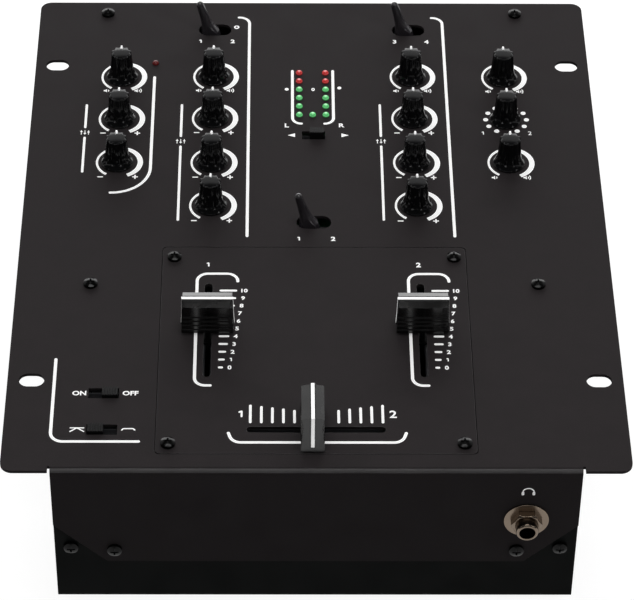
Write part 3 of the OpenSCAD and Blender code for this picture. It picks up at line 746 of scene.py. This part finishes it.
@dataclass
class PlatePrint:
    """The white print on the plate, on the fader panel and on the skirt.

    Attributes:
        stroke: width of the long lines.
        thin: width of the fine lines.
        bold: how much the numerals and letters are thickened.
        sign_drop: how far the signs of a knob lie before its middle.
        ticks: lengths of a channel fader's ticks, from 0 up.
        tick_step: distance of two ticks.
        cross_ticks: how far the crossfader's ticks reach to the rear, from the middle out.
    """

    stroke: float = 1.3
    thin: float = 1.1
    bold: float = 0.035
    sign_drop: float = 9.9
    ticks: tuple[float, ...] = (2.1, 2.8, 3.3, 4.0, 4.5, 5.0, 5.6, 6.1, 6.6, 7.1, 7.5)
    tick_step: float = 4.67
    cross_ticks: tuple[float, ...] = (11.2, 12.0, 12.7, 13.4, 14.2)

    def build(self) -> None:
        """Prints all three faces."""
        top = box_mm("fader_panel")[1][2]
        plate = Stencil("plate_print", Face.PLATE, top)
        self._knob_scales(plate)
        self._channel_lines(plate)
        self._meter(plate)
        self._switch_group(plate)
        self._source_labels(plate)
        plate.ink(body_of("face_plate"))
        panel = Stencil("fader_print", Face.PLATE, top)
        for track, name in (("ch1_fader_track", "1"), ("ch2_fader_track", "2")):
            self._fader_scale(panel, middle_mm(track), name)
        self._cross_scale(panel, middle_mm("crossfader_track"))
        panel.ink(body_of("fader_panel"))
        skirt = Stencil("socket_print", Face.SKIRT, box_mm("face_plate")[0][1])
        self._headphone_sign(skirt, middle_mm("headphone_jack"))
        skirt.ink(body_of("face_plate"))

    def _knob_scales(self, ink: Stencil) -> None:
        """Draws the scale of every knob."""
        scale = KnobScale()
        level = {"mic_level_knob", "ch1_gain_knob", "ch2_gain_knob", "master_knob", "cue_level_knob"}
        for node in frame["nodes"]:
            if not node.endswith("_knob"):
                continue
            x, y = middle_mm(node)[:2]
            if node == "cue_mix_knob":
                for a in np.radians(np.arange(-150, 151, 30)):
                    ink.dot(x + 0.3 + 9.2 * math.sin(a), y + 9.2 * math.cos(a), 1.15)
                ink.word("1", x - 10.5, y - 9.4, 2.4)
                ink.word("2", x + 10.5, y - 9.4, 2.4)
                continue
            scale.draw(ink, x, y)
            if node in level:
                scale.speaker(ink, x - 6.6, y - self.sign_drop, 1)
                scale.speaker(ink, x + 7.4, y - self.sign_drop, 2)
            else:
                scale.minus(ink, x - 7.2, y - self.sign_drop)
                scale.plus(ink, x + 8.2, y - self.sign_drop)

    def _channel_lines(self, ink: Stencil) -> None:
        """Draws the long lines beside the columns."""
        for x, gap, y0, y1 in ((-102.3, 57.5, 30.0, 77.3), (-59.2, 51.5, -2.0, 77.5), (30.5, 51.8, -1.7, 77.8)):
            ink.line([[x, y1], [x, gap + 3.0]], self.thin)
            ink.line([[x, gap - 3.0], [x, y0]], self.thin)
            self._curve_sign(ink, x, gap)
        for x in (-29.0, 61.0):
            ink.line(turned_path([(x - 5.6, 141.3), (x, 141.3), (x, -12.5)], [4.6]), self.stroke)
        ink.ring(-35.0, 134.0, 1.25, 0.6)
        ink.line(turned_path([(-72.2, 97.5), (-72.2, 16.5), (-90.0, 16.5)], [16.7]), self.stroke)

    @staticmethod
    def _curve_sign(ink: Stencil, x: float, y: float) -> None:
        """Draws two small sliders, the sign of a tone control."""
        for k, high in ((-1, 0.6), (0, -0.6), (1, 0.3)):
            ink.line([[x + 1.6 * k, y - 1.5], [x + 1.6 * k, y + 1.5]], 0.34)
            ink.line([[x + 1.6 * k - 0.6, y + high], [x + 1.6 * k + 0.6, y + high]], 0.5)

    def _meter(self, ink: Stencil) -> None:
        """Draws the two brackets of the level meter, its marks and the signs of its switch."""
        base = box_mm("green_leds")[0][1] - 3.6
        for side in (-1, 1):
            path = turned_path([(side * 9.25, 102.3), (side * 9.25, base - 0.6), (side * 4.6, base - 0.6)], [4.0])
            ink.line(path + [0.15, 0], self.stroke)
        ink.dot(-11.7, 88.4, 0.95)
        ink.dot(12.3, 89.4, 0.95)
        ink.word("0", 0.3, 88.3, 2.2, bold=0.04)
        ink.word("L", -11.7, 62.7, 2.7, bold=self.bold)
        ink.word("R", 13.0, 62.8, 2.7, bold=self.bold)
        self._arrow(ink, -9.6, 55.9, -1)
        self._arrow(ink, 14.4, 55.9, 1)

    @staticmethod
    def _arrow(ink: Stencil, x: float, y: float, side: int) -> None:
        """Draws a small pointer to one side."""
        left = np.array([[x - side * 1.6, y + 1.3], [x + side * 1.6, y + 0.05]])
        right = np.array([[x - side * 1.6, y - 1.3], [x + side * 1.6, y - 0.05]])
        ink.band(left, right)

    def _source_labels(self, ink: Stencil) -> None:
        """Numbers the two throws of each lever."""
        for node, low, high, drop in (
            ("ch1_source_lever", "1", "2", 8.6),
            ("ch2_source_lever", "3", "4", 8.6),
            ("cue_source_lever", "1", "2", 10.8),
        ):
            x = box_mm(node)[1][0] - 1.8
            y = middle_mm(node)[1] - drop
            ink.word(low, x - 7.4, y, 2.7, bold=self.bold)
            ink.word(high, x + 7.4, y, 2.7, bold=self.bold)

    def _switch_group(self, ink: Stencil) -> None:
        """Draws the bracket and signs round the two crossfader switches."""
        ink.line(turned_path([(-107.6, -88.0), (-107.6, -136.2), (-71.2, -136.2)], [5.0]), self.stroke)
        y = middle_mm("reverse_slider")[1]
        ink.word("ON", -97.0, y, 2.6, bold=self.bold)
        ink.word("OFF", -76.0, y, 2.6, bold=self.bold)
        y = middle_mm("curve_slider")[1]
        for sign in (-1, 1):
            ink.line([[-97 - 3.0 * sign, y - 1.3], [-97, y + 0.9], [-97 + 3.0 * sign, y + 0.9]], 0.55)
        ink.line([[-79.0, y - 0.5], [-78.2, y + 0.5], [-74.2, y + 0.5], [-73.4, y - 0.5]], 0.6)

    def _fader_scale(self, ink: Stencil, centre: np.ndarray, name: str) -> None:
        """Draws a channel fader's bracket, ticks and numerals.

        Args:
            ink: the stencil.
            centre: the middle of the fader's channel.
            name: the channel's number.
        """
        x, y = centre[0], centre[1]
        top, low = y + 34.5, y - 33.4
        upper = turned_path([(x - 5.0, y + 8), (x - 5.0, top), (x + 12.3, top), (x + 12.3, top - 5.4)], [4.6, 4.6])
        ink.line(upper, self.stroke)
        ink.line(turned_path([(x - 5.0, y + 8), (x - 5.0, low), (x + 2.2, low)], [4.4]), self.stroke)
        for mark, length in enumerate(self.ticks):
            level = y - 22.8 + self.tick_step * mark
            ink.line([[x + 4.6, level], [x + 4.6 + length, level]], 1.15)
            ink.word(str(mark), x + 9.4 + mark * 0.58, level, 2.3, bold=self.bold)
        ink.word(name, x - 0.4, y + 40.2, 2.9, bold=self.bold)

    def _cross_scale(self, ink: Stencil, centre: np.ndarray) -> None:
        """Draws the crossfader's ticks, numerals and lower line."""
        y = centre[1]
        for k, top in enumerate(self.cross_ticks):
            for side in (-1, 1):
                x = side * (9.0 + 4.5 * k) + 0.2
                ink.line([[x, y + 3.6], [x, y + top]], self.thin)
        ink.word("1", -30.6, y + 8.8, 4.2, bold=0.02)
        ink.word("2", 31.4, y + 8.8, 4.2, bold=0.02)
        low = y - 7.3
        path = turned_path([(-35.8, y - 1.4), (-34.0, low), (34.8, low), (36.7, y - 1.4)], [4.6, 4.6])
        ink.line(path, self.stroke)

    @staticmethod
    def _headphone_sign(ink: Stencil, centre: np.ndarray) -> None:
        """Draws a headband with two ear pads over the front socket."""
        x, z = centre[0], centre[2] + 16.0
        turn = np.radians(np.linspace(8, 172, 25))
        ink.line(np.stack([x + 2.3 * np.cos(turn), z + 2.3 * np.sin(turn)], 1), 0.55)
        for side in (-1, 1):
            ink.line([[x + side * 2.2, z + 0.3], [x + side * 2.2, z - 1.7]], 1.1)


# ---------------------------------------------------------------------------------------------
# Controls
# ---------------------------------------------------------------------------------------------


@dataclass(frozen=True)
class LampLens:
    """The lamps' lenses, which stand out of the plate as low discs.

    Attributes:
        plate_top: height of the plate's top.
        flatten: height of a lens over the plate as a share of the CAD dome's.
        merge: distance up to which the copy's points merge.
    """

    plate_top: float
    flatten: float = 0.8
    merge: float = 0.001

    def build(self, node: str) -> None:
        """Makes a copy of a node's lamps with low lenses and keeps each point's first height as "rise".

        Args:
            node: the CAD node.
        """
        mesh = merged_copy(node, self.merge * MM)
        points = np.empty(len(mesh.vertices) * 3)
        mesh.vertices.foreach_get("co", points)
        points = points.reshape(-1, 3)
        over = np.maximum(points[:, 2] - self.plate_top * MM, 0)
        points[:, 2] -= over * (1 - self.flatten)
        mesh.vertices.foreach_set("co", points.ravel())
        rise = mesh.attributes.new("rise", "FLOAT", "POINT")
        rise.data.foreach_set("value", over / max(over.max(), 1e-9))
        mesh.materials.append(FINISHES[slot_of(node)].material())
        stand_for(new_object(node + "_lenses", mesh), node)


@dataclass
class FlutedKnob:
    """A glossy bell-shaped knob with finger flutes and a white pointer.

    Attributes:
        skirt_r: radius of the skirt.
        neck_r: radius of the neck where it starts to flare.
        neck_z: height at which it does.
        top_r: radius of the top.
        height: height of the top above the plate.
        lift: gap under the skirt.
        lip: radius of the skirt's round lip.
        dome_r: radius of the slightly domed top.
        flutes: how many flutes there are.
        flute_r: radius of a flute.
        flute_axis: distance of a flute's axis from the knob's, at its foot.
        flute_foot: height of the flutes' scooped feet.
        flute_lean: how far a flute's axis leans inward, in degrees.
        rim: round of the top's rim.
        crest: round of a flute's upper end.
        scoop: length of a flute's scooped foot.
        soft: how far the edges of the flutes are softened.
        pointer: half the pointer's width and height, how far its middle lies under the knob's top, and where
            it starts from the knob's middle.
        shaft_r: radius of the shaft.
        shaft_drop: how far the shaft reaches below the plate's top.
    """

    skirt_r: float = 7.15
    neck_r: float = 5.15
    neck_z: float = 7.0
    top_r: float = 4.5
    height: float = 14.5
    lift: float = 0.3
    lip: float = 0.4
    dome_r: float = 34.0
    flutes: int = 10
    flute_r: float = 0.84
    flute_axis: float = 5.85
    flute_foot: float = 2.5
    flute_lean: float = 5.3
    rim: float = 0.25
    crest: float = 0.4
    scoop: float = 1.3
    soft: float = 0.1
    pointer: tuple[float, float, float, float] = (0.5, 0.85, 0.45, 2.3)
    shaft_r: float = 3.0
    shaft_drop: float = 10.0

    def flank(self, z: np.ndarray) -> np.ndarray:
        """Radius of the flank at a height.

        Under neck_z it lies on a circle that touches the neck there and meets the lip; over it, the neck
        tapers evenly to the top.
        """
        base = self.lift + self.lip
        spread = self.skirt_r - 0.05 - self.neck_r
        flare = ((self.neck_z - base) ** 2 + spread**2) / (2 * spread)
        drop = np.clip(self.neck_z - z, 0, self.neck_z - base)
        bell = self.neck_r + flare - np.sqrt(flare**2 - drop**2)
        share = np.clip((z - self.neck_z) / (self.height - self.neck_z), 0, 1)
        return bell + (self.top_r - self.neck_r) * share

    def groove(self, swing: np.ndarray, level: np.ndarray) -> np.ndarray:
        """Distance from the knob's axis to a groove's wall, and a great number where no groove cuts.

        The groove is a round bar of radius flute_r whose axis leans inward as it rises. Its foot narrows
        as a ball's does. The near wall of a circle at distance a, seen at angle w, is at
        a cos w - sqrt(g^2 - a^2 sin^2 w).
        """
        up = level - self.flute_foot
        axis = self.flute_axis - math.tan(math.radians(self.flute_lean)) * up
        short = np.clip(self.scoop - up, 0, self.scoop) / self.scoop
        bar = self.flute_r * np.sqrt(np.clip(1 - short**2.4, 0, 1))
        inside = bar**2 - (axis * np.sin(swing)) ** 2
        wall = axis * np.cos(swing) - np.sqrt(np.maximum(inside, 0))
        return np.where((inside > 0) & (up > 0), wall, 99.0)

    def outline(self) -> np.ndarray:
        """Radius and height from the shaft's end round the skirt to the middle of the top."""
        shaft = np.array([[0.0, -self.shaft_drop], [self.shaft_r, -self.shaft_drop], [self.shaft_r, 2.0]])
        under = np.array([[3.7, 2.2], [3.9, 0.9], [4.2, self.lift]])
        turn = np.linspace(-math.pi / 2, 0.35, 10)
        lip = np.stack(
            [self.skirt_r - self.lip + self.lip * np.cos(turn), self.lift + self.lip + self.lip * np.sin(turn)], 1
        )
        rim = self.rim
        shoulder = self.height - self.top_r**2 / (2 * self.dome_r) - rim
        z = np.concatenate([np.linspace(self.lift + self.lip + 0.15, 4.2, 30), np.linspace(4.2, shoulder, 26)[1:]])
        flank = np.stack([self.flank(z), z], 1)
        bend = np.linspace(0, math.pi / 2, 7)[1:]
        edge_r = float(self.flank(np.array(shoulder)))
        edge = np.stack([edge_r - rim + rim * np.cos(bend), shoulder + rim * np.sin(bend)], 1)
        r = np.concatenate([np.linspace(edge_r - rim, 2.6, 16)[1:], np.linspace(2.6, 0.0, 6)[1:]])
        dome = np.stack([r, edge[-1, 1] + ((edge_r - rim) ** 2 - r**2) / (2 * self.dome_r)], 1)
        return np.concatenate([shaft, under, lip, flank, edge, dome])

    def surface(self, x: float, y: float, base: float) -> tuple[np.ndarray, list]:
        """The revolved outline with its flutes cut in.

        The radius is the soft lower of the outline and the wall of the nearest groove. Where a groove
        leaves through the top, the height drops by crest (1 - sqrt(1 - t^2)), t being how far the point is
        into the last crest before the groove's wall. A land faces the rear, where the pointer is.

        Args:
            x: the knob's middle across.
            y: the knob's middle along.
            base: height of the plate's top.

        Returns:
            The points and the faces.
        """
        outline = self.outline()
        r, z = outline[1:-1, 0], outline[1:-1, 1]
        pitch = 2 * math.pi / self.flutes
        inner = np.sin(np.linspace(-math.pi / 2, math.pi / 2, 21)) * 1.06 * self.flute_r / self.flute_axis
        outer = np.linspace(inner[-1], pitch - inner[-1], 6)[1:-1]
        one = np.concatenate([inner, outer]) + pitch / 2
        turn = (np.arange(self.flutes)[:, None] * pitch + one[None, :]).ravel()
        swing = (turn[None, :] % pitch) - pitch / 2
        rows = np.repeat(r[:, None], len(turn), 1)
        level = np.repeat(z[:, None], len(turn), 1)
        limit = self.groove(swing + 0 * level, level)
        blend = np.maximum(self.soft - np.abs(rows - limit), 0) ** 2 / (4 * self.soft)
        radius = np.where(limit < 90, np.minimum(rows, limit) - blend, rows)
        over = np.clip((rows - limit + self.crest) / self.crest, 0, 1)
        crown = level.max() - radius**2 / (2 * self.dome_r) - self.crest * (1 - np.sqrt(1 - over**2))
        level = np.minimum(level, crown)
        points = np.stack(
            [x + radius * np.sin(turn)[None, :], y + radius * np.cos(turn)[None, :], base + level], 2
        ).reshape(-1, 3)
        ends = np.array([[x, y, base + outline[0, 1]], [x, y, base + outline[-1, 1]]])
        faces = grid_quads(len(r), len(turn), wrap=True).tolist() + fans(len(r), len(turn))
        return np.concatenate([points, ends]), faces

    def build(self) -> None:
        """Makes every knob with its pointer."""
        base = box_mm("fader_panel")[1][2]
        for node in [n for n in frame["nodes"] if n.endswith("_knob")]:
            x, y = middle_mm(node)[:2]
            points, faces = self.surface(x, y, base)
            piece = put_piece(node + "_shell", points, faces, body_of(node), FINISHES["knob_gloss"])
            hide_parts(node)
            wide, tall, under, start = self.pointer
            end = self.top_r + 0.2
            centre = np.array([x, y + (start + end) / 2, base + self.height - under])
            points, faces = rounded_block(centre, np.array([wide, (end - start) / 2, tall]), 0.45)
            put_piece(node + "_pointer", points, faces, body_of(node), FINISHES["white_print"])


def rounded_block(centre: np.ndarray, half: np.ndarray, power: float, count: int = 24) -> tuple[np.ndarray, list]:
    """A block with round edges.

    It is a stretched ball whose sines and cosines are raised to a power: 1 gives the ball, 0 the block.

    Args:
        centre: its middle.
        half: its half sizes.
        power: the power.
        count: points round it.

    Returns:
        The points and the faces.
    """
    turn = np.linspace(0, 2 * math.pi, count + 1)[:-1]
    rise = np.linspace(-math.pi / 2, math.pi / 2, count // 2 + 1)[1:-1]

    def curve(value: np.ndarray) -> np.ndarray:
        """The value's size raised to the power, with its sign kept."""
        return np.sign(value) * np.abs(value) ** power

    flat = curve(np.cos(rise))[:, None]
    x = flat * curve(np.cos(turn))[None, :]
    y = flat * curve(np.sin(turn))[None, :]
    z = np.repeat(curve(np.sin(rise))[:, None], count, 1)
    points = np.stack([x, y, z], 2).reshape(-1, 3)
    faces = grid_quads(len(rise), count, wrap=True).tolist() + fans(len(rise), count)
    points = np.concatenate([points, [[0, 0, -1], [0, 0, 1]]])
    return centre + points * half, faces


@dataclass
class CapLine:
    """The white line over a fader cap's ridge and down both of its ends.

    Attributes:
        width: width of the line.
        foot: how much longer each end of the cap is at the bottom than at the top.
        proud: how far the raised band stands out.
        film: how far the line stands out of the cap, and how deep it goes in.
    """

    width: float = 1.4
    foot: float = 0.6
    proud: float = 0.3
    film: float = 0.05

    def build(self, node: str, along_y: bool) -> None:
        """Lays the line on one cap.

        Args:
            node: the cap.
            along_y: whether the cap's long side runs along Y.
        """
        low, high = box_mm(node)
        centre = (low + high) / 2
        axis = 1 if along_y else 0
        tall = high[2] - low[2]
        foot = self.foot
        top = (high[axis] - low[axis]) / 2 - max(0.8 * foot, foot - self.proud)
        side = [(top + 0.8 * foot, 0.13 * tall), (top + 0.35 * foot, 0.45 * tall), (top, tall - 1.2), (top, tall)]
        path = np.array(side + [(-a, b) for a, b in side[::-1]])
        outward = path + self.film * np.array([[1, 0], [1, 0], [1, 0], [1, 1], [-1, 1], [-1, 0], [-1, 0], [-1, 0]])
        stations = []
        for route in (outward, path - (outward - path)):
            for sign in (-1, 1):
                spots = np.zeros((len(route), 3))
                spots[:, axis] = centre[axis] + route[:, 0]
                spots[:, 1 - axis] = centre[1 - axis] + sign * self.width / 2
                spots[:, 2] = low[2] + route[:, 1]
                stations.append(spots)
        rings = np.stack([stations[0], stations[1], stations[3], stations[2]], 1).reshape(-1, 3)
        faces = grid_quads(len(path), 4, wrap=True).tolist() + tube_ends(len(path))
        # The line glows more than the other print: painted light that keeps its ends white where they face the dark
        # front.
        painted_glow_print = replace(FINISHES["white_print"], name="cap_line_painted_glow", glow=0.5)
        put_piece(node + "_line", rings, faces, body_of(node), painted_glow_print, smooth=False)


# ---------------------------------------------------------------------------------------------
# Studio
# ---------------------------------------------------------------------------------------------


@dataclass
class Studio:
    """Floor, soft light, pale surroundings and camera.

    Attributes:
        eye: the camera's place in millimetres.
        pitch: how far it looks down, in degrees.
        yaw: how far it is turned, in degrees.
        roll: how far it is tilted, in degrees.
        lens: focal length in millimetres on a 36 mm wide sensor.
        shift: the lens's shift across and up, as a share of the width.
        floor_half: half the floor's side in metres.
        floor_colour: the floor's grey, which takes the shadow.
        floor_glow: light that the floor shows the eye on top of its grey.
        room: the room's light at its darkest and, low at the back, at its palest.
    """

    eye: tuple[float, float, float] = (-16.14, -1018.95, 986.34)
    pitch: float = 43.159
    yaw: float = -0.7468
    roll: float = 0.6055
    lens: float = 177.45
    shift: tuple[float, float] = (0.0168, 0.0072)
    floor_half: float = 6.0
    floor_colour: float = 0.26
    floor_glow: float = 0.9
    room: tuple[float, float] = (0.05, 0.95)

    def build(self) -> None:
        """Sets up everything round the object."""
        self._camera()
        self._floor()
        self._surroundings()
        for name, place, aim, size, power in (
            ("rear_panel", (0.0, 1.9, 0.72), (0, 0, 0.08), (2.4, 0.9), 22.0),
            ("top_panel", (0.0, -0.06, 1.45), (0, -0.03, 0.08), (0.9, 0.3), 6.3),
            ("front_panel", (0.0, -1.3, 1.35), (0, -0.05, 0.08), (1.8, 0.35), 3.0),
            ("right_strip", (1.3, -0.9, 1.0), (0, 0, 0.08), (0.12, 1.1), 3.0),
            ("left_strip", (-1.4, -0.7, 1.0), (0, 0, 0.08), (0.1, 1.0), 0.9),
        ):
            self._lamp(name, place, aim, size, power)
        bpy.context.scene.view_settings.view_transform = "Standard"

    def _camera(self) -> None:
        """Makes the camera from its place and its three angles."""
        data = bpy.data.cameras.new("camera")
        data.lens = self.lens
        data.sensor_width = 36.0
        data.shift_x, data.shift_y = self.shift
        data.clip_end = 50.0
        camera = new_object("camera", data)
        pitch, yaw, roll = (math.radians(a) for a in (self.pitch, self.yaw, self.roll))
        about_z = np.array([[math.cos(yaw), math.sin(yaw), 0], [-math.sin(yaw), math.cos(yaw), 0], [0, 0, 1]])
        swap = np.array([[1, 0, 0], [0, 0, -1], [0, 1, 0]], float)
        about_x = np.array([[1, 0, 0], [0, math.cos(pitch), -math.sin(pitch)], [0, math.sin(pitch), math.cos(pitch)]])
        about_view = np.array([[math.cos(roll), -math.sin(roll), 0], [math.sin(roll), math.cos(roll), 0], [0, 0, 1]])
        right, down, ahead = about_view @ about_x @ swap @ about_z
        turn = Matrix(np.stack([right, -down, -ahead], 1).tolist()).to_4x4()
        turn.translation = [c * MM for c in self.eye]
        camera.matrix_world = turn
        bpy.context.scene.camera = camera

    @staticmethod
    def _lamp(name: str, place: tuple, aim: tuple, size: tuple, power: float) -> None:
        """Hangs one soft panel that faces a point."""
        data = bpy.data.lights.new(name, "AREA")
        data.shape = "RECTANGLE"
        data.size, data.size_y = size
        data.energy = power
        lamp = new_object(name, data)
        ahead = np.array(aim, float) - np.array(place, float)
        back = -ahead / np.linalg.norm(ahead)
        right = np.cross([0, 0, 1], back)
        if np.linalg.norm(right) < 1e-3:
            right = np.array([1.0, 0, 0])
        right /= np.linalg.norm(right)
        up = np.cross(back, right)
        turn = Matrix(np.stack([right, up, back], 1).tolist()).to_4x4()
        turn.translation = place
        lamp.matrix_world = turn

    @staticmethod
    def _seen(tree: bpy.types.NodeTree, kinds: tuple[str, ...]) -> bpy.types.NodeSocket:
        """Gives 1 where a ray is of one of the kinds of Light Path, such as Is Camera Ray."""
        path = add_node(tree, "LightPath")
        most = path.outputs[kinds[0]]
        for kind in kinds[1:]:
            most = add_node(tree, "Math", {0: most, 1: path.outputs[kind]}, operation="MAXIMUM").outputs[0]
        return most

    def _floor(self) -> None:
        """Lays a plain pale floor that is white to the eye and keeps the shadow."""
        half = self.floor_half
        mesh = bpy.data.meshes.new("floor")
        mesh.from_pydata([(-half, -half, 0), (half, -half, 0), (half, half, 0), (-half, half, 0)], [], [(0, 1, 2, 3)])
        floor = new_object("floor", mesh)
        made = bpy.data.materials.new("floor_card")
        made.use_nodes = True
        tree = made.node_tree
        card = tree.nodes["Principled BSDF"]
        set_inputs(
            tree, card, {"Base Color": (*[self.floor_colour] * 3, 1), "Roughness": 0.9, "Specular IOR Level": 0.1}
        )
        glow = add_node(tree, "Emission", {"Strength": self.floor_glow})
        both = add_node(tree, "AddShader", {0: card.outputs[0], 1: glow.outputs[0]})
        seen = self._seen(tree, ("Is Camera Ray", "Is Glossy Ray", "Is Transmission Ray"))
        pick = add_node(tree, "MixShader", {0: seen, 1: card.outputs[0], 2: both.outputs[0]})
        set_inputs(tree, tree.nodes["Material Output"], {"Surface": pick.outputs[0]})
        mesh.materials.append(made)

    def _surroundings(self) -> None:
        """Makes the air white to the eye and a dim room, paler low at the back, to the object."""
        world = bpy.data.worlds.new("room")
        bpy.context.scene.world = world
        world.use_nodes = True
        tree = world.node_tree
        room = tree.nodes["Background"]
        split = add_node(tree, "SeparateXYZ", {0: add_node(tree, "TexCoord").outputs["Generated"]})
        low = spread(split.outputs["Z"], (0.66, 0.79), (1.0, 0.0), "SMOOTHSTEP")
        rear = spread(split.outputs["Y"], (0.0, 0.35), (0.0, 1.0), "SMOOTHSTEP")
        both = add_node(tree, "Math", {0: low, 1: rear}, operation="MULTIPLY")
        shade = spread(both.outputs[0], (0.0, 1.0), self.room, "SMOOTHSTEP")
        set_inputs(tree, room, {"Color": shade, "Strength": 1.0})
        white = add_node(tree, "Background", {"Color": (1, 1, 1, 1)})
        seen = self._seen(tree, ("Is Camera Ray",))
        pick = add_node(tree, "MixShader", {0: seen, 1: room.outputs[0], 2: white.outputs[0]})
        set_inputs(tree, tree.nodes["World Output"], {"Surface": pick.outputs[0]})


def main() -> None:
    """Builds the looks in order."""
    logging.basicConfig(level=logging.INFO, format="%(message)s")
    Studio().build()
    CarriedNodes.dress()
    SoftEdges(
        {
            "face_plate": 0.3,
            "fader_panel": 0.25,
            "base_tray": 0.2,
            "ch1_fader_cap": 0.22,
            "ch2_fader_cap": 0.22,
            "crossfader_cap": 0.22,
            "headphone_jack": 0.25,
            "jack_nuts": 0.25,
            "jack_washers": 0.2,
        }
    ).build()
    lens = LampLens(box_mm("fader_panel")[1][2])
    lens.build("red_leds")
    lens.build("green_leds")
    FlutedKnob().build()
    CapLine().build("ch1_fader_cap", along_y=False)
    CapLine().build("ch2_fader_cap", along_y=False)
    CapLine(foot=3.6).build("crossfader_cap", along_y=True)
    PlatePrint().build()


if __name__ == "__main__":
    main()
